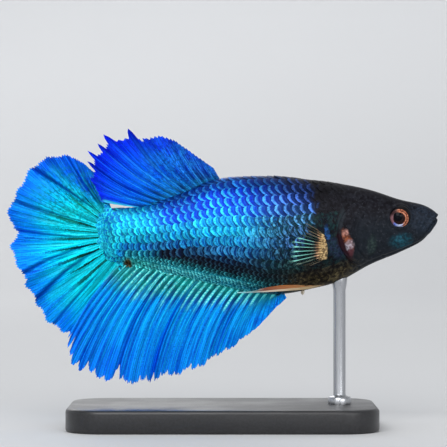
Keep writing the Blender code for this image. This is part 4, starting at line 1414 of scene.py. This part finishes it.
def pectoral_material():
    shine = {"coat_weight": 0.05, "coat_roughness": 0.3, "specular_ior_level": 0.2, "roughness": 0.45}
    paint = Paint("betta_pectoral", **shine)
    share, along = paint.uv("FinUV")
    ray = paint.attribute("ray")
    streak = paint.noise(paint.joined(share * 30, along * 3, 0.0), 1.0, 3.0)
    mottle = paint.noise(paint.place(), 3.0, 3.0)
    far = along * paint.rise(share, 0.0, 0.5, 0.7, 1.0) + (streak - 0.5) * 0.2
    # the rays: pink at the root, green beyond it in the middle of the fan, each with its own shade
    middle_rays = paint.rise(share, 0.22, 0.42) * paint.rise(share, 0.9, 0.72)
    bones = paint.ramp(far, stops((0.3, 116, 100, 84), (0.5, 110, 190, 176), (0.8, 140, 226, 214)))
    bones = paint.mix(1 - middle_rays, bones, rgb(112, 104, 86))
    pink = paint.fade(mottle, 0.4, 0.6, rgb(150, 96, 74), rgb(214, 160, 134))
    bones = paint.fade(far, 0.36, 0.26, bones, pink)
    lucky = paint.chance((share * (PECTORAL_RAYS - 1) + 0.5).floor())
    bones = paint.shade(bones, paint.rise(lucky + (mottle - 0.5), 0.1, 0.7, 0.25, 1.15))
    web = paint.fade(far, 0.36, 0.26, rgb(12, 44, 48), rgb(96, 66, 54))
    colour = paint.fade(ray, 0.2, 0.75, web, bones)
    # the fleshy base
    flesh = paint.fade(mottle, 0.4, 0.6, rgb(100, 80, 54), colours().fin_base)
    flesh = paint.shade(flesh, paint.rise(ray + (streak - 0.5) * 0.6, 0.0, 0.6, 0.72, 1.12))
    flesh = paint.fade(along + (mottle - 0.5) * 0.16, 0.09, 0.02, flesh, rgb(58, 54, 46))
    colour = paint.fade(far, 0.34, 0.22, colour, flesh)
    # clear between the rays, and fainter where they end
    faint = paint.rise(middle_rays, 0.0, 1.0, 0.7, 1.0)
    faint = faint * paint.rise(along + (lucky - 0.5) * 0.3, 1.02, 0.8, 0.25, 1.0)
    alpha = paint.rise(far, 0.42, 0.3).most(paint.rise(ray, 0.2, 0.7) * faint)
    alpha = alpha.most(0.1 + (streak - 0.5) * 0.2)
    return paint.finish(base_color=colour, alpha=alpha, normal=paint.bump(streak + mottle, 0.25, 0.05))


PELVIC_UPPER = stops(
    (0.0, 60, 42, 28), (0.2, 164, 116, 62), (0.4, 160, 98, 50),
    (0.6, 112, 48, 28), (0.8, 110, 120, 112), (1.0, 130, 190, 190),
)
PELVIC_LOWER = stops(
    (0.0, 120, 96, 68), (0.25, 180, 156, 116), (0.6, 206, 194, 176),
    (0.8, 180, 216, 220), (1.0, 150, 216, 220),
)


def pelvic_material():
    paint = Paint("betta_pelvic", coat_weight=0.2, coat_roughness=0.25, roughness=0.4)
    share, along = paint.uv("FinUV")
    ray = paint.attribute("ray")
    streak = paint.noise(paint.joined(share * 9, along * 14, 0.0), 1.0, 3.0)
    upper, lower = paint.ramp(along, PELVIC_UPPER), paint.ramp(along, PELVIC_LOWER)
    colour = paint.fade(share + (streak - 0.5) * 0.3, 0.5, 0.28, upper, lower)
    colour = paint.shade(colour, paint.rise(ray * 0.6 + streak * 0.4, 0.1, 0.8, 0.6, 1.12))
    return paint.finish(base_color=colour, normal=paint.bump(streak, 0.25, 0.05))


class BETTA_OT_pectoral_fins(bpy.types.Operator):
    """Fan a clear pectoral fin out from each flank, on its pale fleshy base"""

    bl_idname = "betta.pectoral_fins"
    bl_label = "Pectoral Fins"

    def execute(self, context):
        material = pectoral_material()
        for side, letter in SIDES:
            fan = sheet_piece(f"pectoral_fan_{letter}", 16 * (PECTORAL_RAYS - 1), 64, pectoral_rule(side))
            outward(fan)
            finish_piece(fan, material, [f"pectoral_fin_{letter}"], math.radians(60))
        return {"FINISHED"}


class BETTA_OT_pelvic_fins(bpy.types.Operator):
    """Lay a narrow pelvic fin back along each side of the belly"""

    bl_idname = "betta.pelvic_fins"
    bl_label = "Pelvic Fins"

    def execute(self, context):
        material = pelvic_material()
        for side, letter in SIDES:
            blade = sheet_piece(f"pelvic_blade_{letter}", 32, 96, pelvic_rule(side))
            outward(blade)
            finish_piece(blade, material, [f"pelvic_fin_{letter}"], math.radians(60))
        return {"FINISHED"}


# --- egg tube ---------------------------------------------------------------

EGG_TUBE_ROOT = 0.5  # how far it reaches on into the belly


def flesh_material():
    paint = Paint("betta_pale_flesh", coat_weight=0.4, coat_roughness=0.15, roughness=0.4)
    mottle = paint.noise(paint.place(), 2.5, 3.0)
    colour = paint.fade(mottle, 0.35, 0.7, rgb(186, 170, 146), rgb(226, 220, 206))
    return paint.finish(base_color=colour, normal=paint.bump(mottle, 0.2, 0.05))


class BETTA_OT_egg_tube(bpy.types.Operator):
    """Shape the small pale egg tube below the belly, with its opening"""

    bl_idname = "betta.egg_tube"
    bl_label = "Egg Tube"

    def execute(self, context):
        low, high = node_box("egg_tube")
        high[2] += EGG_TUBE_ROOT
        tube = unit_ball("egg_spout", 40, 28)
        unit = points_of(tube)
        down = np.clip(-unit[:, 2], 0, 1)
        narrow = 1 - 0.25 * down**2 + 0.06 * bell(down - 0.86, 0.07)
        pit = 0.16 * bell(np.hypot(unit[:, 0], unit[:, 1]), 0.22) * (unit[:, 2] < 0)
        radius, half_height = (high[0] - low[0]) / 2, (high[2] - low[2]) / 2
        x = (low[0] + high[0]) / 2 + unit[:, 0] * radius * narrow
        y = unit[:, 1] * radius * narrow
        z = low[2] + half_height + (unit[:, 2] + pit) * half_height
        put_points(tube, np.stack([x, y, z], -1))
        finish_piece(tube, flesh_material(), ["egg_tube"])
        return {"FINISHED"}


# --- stand ------------------------------------------------------------------

# The rounding of the base's edges: how far it reaches, and in how many steps.
TOP_EDGE, TOP_STEPS = 0.5, 5
FOOT_EDGE, FOOT_STEPS = 0.3, 2
CORNER_STEPS = 14
ROD_INTO_BREAST = 0.35  # how far the rod's rest goes on into the breast
# The rod's radius, as a share of the solid rod's, at heights from the base's top or from its own
# top: a collar, a plain shaft, and a small flared rest.
COLLAR = ((-0.2, 1.9), (0.7, 1.9), (0.95, 1.75), (1.05, 1.2), (1.25, 1.0))
REST = ((-1.6, 1.0), (-0.7, 1.2), (0.0, 1.3))


def black_material():
    paint = Paint("stand_satin_black", coat_weight=0.15, coat_roughness=0.3)
    place = paint.place()
    grain = paint.noise(place, 3.0, 6.0, 0.7)
    wear = paint.noise(place, 0.12, 3.0)
    return paint.finish(
        base_color=paint.fade(grain, 0.3, 0.7, colours().stand, rgb(36, 36, 39)),
        roughness=paint.rise(wear * 0.7 + grain * 0.3, 0.35, 0.65, 0.3, 0.46),
        normal=paint.bump(grain, 0.12, 0.04),
    )


def steel_material():
    paint = Paint("stand_brushed_steel", metallic=1.0)
    x, y, z = paint.parts(paint.place())
    brushed = paint.noise(paint.joined(x * 2, y * 2, z * 0.05), 1.0, 2.0)
    colour = paint.fade(brushed, 0.3, 0.7, rgb(172, 174, 178), rgb(182, 184, 188))
    return paint.finish(base_color=colour, roughness=paint.rise(brushed, 0.3, 0.7, 0.26, 0.3))


class BETTA_OT_stand(bpy.types.Operator):
    """Make the black base with its soft edges, and the steel rod with its collar and rest"""

    bl_idname = "betta.stand"
    bl_label = "Stand"

    def execute(self, context):
        low, high = node_box("stand_base")
        place = {"location": (low + high) / 2 * MM, "scale": (high - low) * MM}
        base = primitive(bpy.ops.mesh.primitive_cube_add, "base_plate", size=1, **place)
        activate(base)
        bpy.ops.object.transform_apply(location=True, rotation=True, scale=True)
        bevel, corner = bpy.ops.mesh.bevel, sizes().base_corner
        rounded = {"offset": corner, "segments": CORNER_STEPS, "affect": "EDGES"}
        edit(base, "EDGE", lambda edge: is_upright(base, edge), bevel, **rounded)
        for level, offset, steps in ((high[2], TOP_EDGE, TOP_STEPS), (low[2], FOOT_EDGE, FOOT_STEPS)):
            rounded = {"offset": offset * MM, "segments": steps, "affect": "EDGES"}
            edit(base, "EDGE", lambda edge: is_level(base, edge, level), bevel, **rounded)
        finish_piece(base, black_material(), ["stand_base"], math.radians(40))
        self.make_rod(high[2])
        return {"FINISHED"}

    def make_rod(self, floor):
        """Turns the rod from its profile, which starts just below the base's top."""
        low, high = node_box("stand_rod")
        radius = (high[1] - low[1]) / 2
        top = high[2] + ROD_INTO_BREAST
        profile = [(floor + level, share * radius) for level, share in COLLAR]
        profile += [(top + level, share * radius) for level, share in REST]
        rod = turned("rod", profile, (low + high) / 2)
        sharp = math.radians(35)
        use_modifier(rod, "BEVEL", width=0.05 * MM, segments=2, limit_method="ANGLE", angle_limit=sharp)
        finish_piece(rod, steel_material(), ["stand_rod"], sharp)


def is_upright(piece, edge):
    ends = [piece.data.vertices[k].co for k in edge.vertices]
    return abs(ends[0].z - ends[1].z) > 0.5 * MM


def is_level(piece, edge, level):
    return all(abs(piece.data.vertices[k].co.z - level * MM) < 0.01 * MM for k in edge.vertices)


def turned(name, profile, centre=(0, 0, 0), segments=72):
    """A round piece from its profile of heights and radii, extruded ring by ring from a disc."""
    (level, radius), *rest = profile
    x, y = centre[0] * MM, centre[1] * MM
    disc = {"vertices": segments, "radius": radius * MM, "fill_type": "NGON"}
    start = (x, y, level * MM)
    piece = primitive(bpy.ops.mesh.primitive_circle_add, name, location=start, **disc)
    bpy.ops.object.mode_set(mode="EDIT")
    for next_level, next_radius in rest:
        rise = (0, 0, (next_level - level) * MM)
        bpy.ops.mesh.extrude_region_move(TRANSFORM_OT_translate={"value": rise})
        grown = next_radius / radius
        bpy.ops.transform.resize(value=(grown, grown, 1), center_override=(x, y, next_level * MM))
        level, radius = next_level, next_radius
    bpy.ops.object.mode_set(mode="OBJECT")
    outward(piece)
    return piece


# --- stage ------------------------------------------------------------------

VIEW_WIDTH = 58.11  # how much of the model's plane the camera takes in
VIEW_CENTRE = (0.13, 26.46)  # the x and z that the camera looks at
VIEW_DISTANCE = 300.0
SENSOR = 36.0
FLOOR_RADIUS, COVE_RADIUS, WALL_TOP = 520.0, 260.0, 330.0
COVE_STEPS = 10
# Each lamp: its name, place, width, height and power in watts. All of them face the fish.
LAMPS = (
    ("key", (-170, -600, 460), 530, 530, 3.5),
    ("front_fill", (370, -600, 190), 430, 310, 1.5),
    ("top", (40, 60, 520), 420, 420, 0.3),
    ("rear", (-170, 600, 390), 420, 340, 1.1),
)
SKY_COLOUR, SKY_STRENGTH = (0.95, 0.97, 1.0, 1.0), 0.5


def stage_material():
    paint = Paint("stage_pale", roughness=0.9)
    place = paint.place()
    paper = paint.noise(place, 0.004, 2.0)
    # the floor is painted darker than the wall: painted shade and light that make up for the lamps
    # lighting the floor more than the wall
    floor = paint.mix(paper, colours().floor, rgb(208, 209, 210))
    wall = paint.mix(paper, rgb(224, 225, 227), rgb(228, 229, 230))
    return paint.finish(base_color=paint.fade(paint.parts(place)[2], 0.0, COVE_RADIUS * 0.5, floor, wall))


class BETTA_OT_stage(bpy.types.Operator):
    """Set up the pale floor and its curved wall, the soft lamps and the camera"""

    bl_idname = "betta.stage"
    bl_label = "Stage"

    def execute(self, context):
        profile = [(0.0, FLOOR_RADIUS)]
        for step in range(1, COVE_STEPS + 1):
            turn = step / COVE_STEPS * math.pi / 2
            reach = FLOOR_RADIUS + COVE_RADIUS * math.sin(turn)
            profile.append((COVE_RADIUS * (1 - math.cos(turn)), reach))
        profile.append((WALL_TOP, FLOOR_RADIUS + COVE_RADIUS))
        bowl = turned("stage_floor", profile, segments=96)
        lid = (WALL_TOP - 1) * MM
        edit(bowl, "FACE", lambda face: face.center[2] > lid, bpy.ops.mesh.delete, type="FACE")
        edit(bowl, "FACE", every, bpy.ops.mesh.flip_normals)
        bowl.data.materials.append(stage_material())
        bpy.ops.object.shade_smooth()
        for lamp in LAMPS:
            self.add_lamp(*lamp)
        self.add_world(context.scene)
        self.add_camera(context.scene)
        return {"FINISHED"}

    def add_lamp(self, name, place, width, height, power):
        place = Vector(place) * MM
        turn = (Vector((0, 0, VIEW_CENTRE[1] * MM)) - place).to_track_quat("-Z", "Y").to_euler()
        bpy.ops.object.light_add(type="AREA", location=place, rotation=turn)
        lamp = bpy.context.active_object
        lamp.name = name
        lamp.data.shape = "RECTANGLE"
        lamp.data.size, lamp.data.size_y = width * MM, height * MM
        lamp.data.energy = power

    def add_world(self, scene):
        world = bpy.data.worlds.new("studio")
        world.use_nodes = True
        background = world.node_tree.nodes["Background"]
        background.inputs["Color"].default_value = SKY_COLOUR
        background.inputs["Strength"].default_value = SKY_STRENGTH
        scene.world = world
        scene.view_settings.view_transform = "Standard"

    def add_camera(self, scene):
        x, z = VIEW_CENTRE
        place = Vector((x, -VIEW_DISTANCE, z)) * MM
        bpy.ops.object.camera_add(location=place, rotation=(math.pi / 2, 0, 0))
        camera = bpy.context.active_object
        camera.name = "camera"
        camera.data.sensor_width = SENSOR
        camera.data.lens = SENSOR * VIEW_DISTANCE / VIEW_WIDTH
        camera.data.clip_start = 0.01
        scene.camera = camera


# --- the add-on -------------------------------------------------------------


class BettaSizes(bpy.types.PropertyGroup):
    """Sizes and counts that a user may change"""

    coat_depth: FloatProperty(
        name="Coat depth",
        description="How far the skin lies inside the body's form, to leave room for the scales",
        default=0.12 * MM,
        unit="LENGTH",
    )
    skin_rings: IntProperty(
        name="Skin rings", description="Rings of the skin from snout to tail", default=424
    )
    skin_columns: IntProperty(name="Skin columns", description="Columns round the skin", default=224)
    base_corner: FloatProperty(
        name="Base corner",
        description="Radius of the base's upright corners",
        default=5.0 * MM,
        unit="LENGTH",
    )


class BettaColours(bpy.types.PropertyGroup):
    """Colours that a user may change"""

    head: FloatVectorProperty(
        name="Head", description="The dark colour of the head", default=rgb(18, 17, 22), subtype="COLOR"
    )
    head_fleck: FloatVectorProperty(
        name="Head flecks",
        description="The lighter specks of the head",
        default=rgb(38, 39, 46),
        subtype="COLOR",
    )
    breast: FloatVectorProperty(
        name="Breast", description="The breast's light specks", default=rgb(96, 86, 60), subtype="COLOR"
    )
    eye_ring: FloatVectorProperty(
        name="Eye ring",
        description="The bright copper of the eye's ring",
        default=rgb(204, 134, 104),
        subtype="COLOR",
    )
    fin_base: FloatVectorProperty(
        name="Fin base",
        description="The pale base of the pectoral fins",
        default=rgb(196, 168, 120),
        subtype="COLOR",
    )
    stand: FloatVectorProperty(
        name="Stand", description="The black of the base", default=rgb(20, 20, 22), subtype="COLOR"
    )
    floor: FloatVectorProperty(
        name="Floor",
        description="The floor that the model stands on",
        default=rgb(202, 203, 205),
        subtype="COLOR",
    )


PIECES = (
    BETTA_OT_stage,
    BETTA_OT_skin,
    BETTA_OT_scales,
    BETTA_OT_eyes,
    BETTA_OT_median_fins,
    BETTA_OT_pectoral_fins,
    BETTA_OT_pelvic_fins,
    BETTA_OT_egg_tube,
    BETTA_OT_stand,
)


class BETTA_PT_panel(bpy.types.Panel):
    """The sidebar panel with the sizes, the colours and a button for each group of pieces"""

    bl_idname = "BETTA_PT_panel"
    bl_label = "Betta Fish Model"
    bl_space_type = "VIEW_3D"
    bl_region_type = "UI"
    bl_category = "Betta"

    def draw(self, context):
        for group in (context.scene.betta_sizes, context.scene.betta_colours):
            for key in group.bl_rna.properties.keys():
                if key not in ("rna_type", "name"):
                    self.layout.prop(group, key)
        for piece in PIECES:
            self.layout.operator(piece.bl_idname)


CLASSES = (BettaSizes, BettaColours, *PIECES, BETTA_PT_panel)


def register():
    for item in CLASSES:
        bpy.utils.register_class(item)
    bpy.types.Scene.betta_sizes = PointerProperty(type=BettaSizes)
    bpy.types.Scene.betta_colours = PointerProperty(type=BettaColours)


def unregister():
    del bpy.types.Scene.betta_colours
    del bpy.types.Scene.betta_sizes
    for item in reversed(CLASSES):
        bpy.utils.unregister_class(item)


def main():
    register()
    bpy.ops.betta.stage()
    bpy.ops.betta.skin()
    bpy.ops.betta.scales()
    bpy.ops.betta.eyes()
    bpy.ops.betta.median_fins()
    bpy.ops.betta.pectoral_fins()
    bpy.ops.betta.pelvic_fins()
    bpy.ops.betta.egg_tube()
    bpy.ops.betta.stand()


if __name__ == "__main__":
    main()
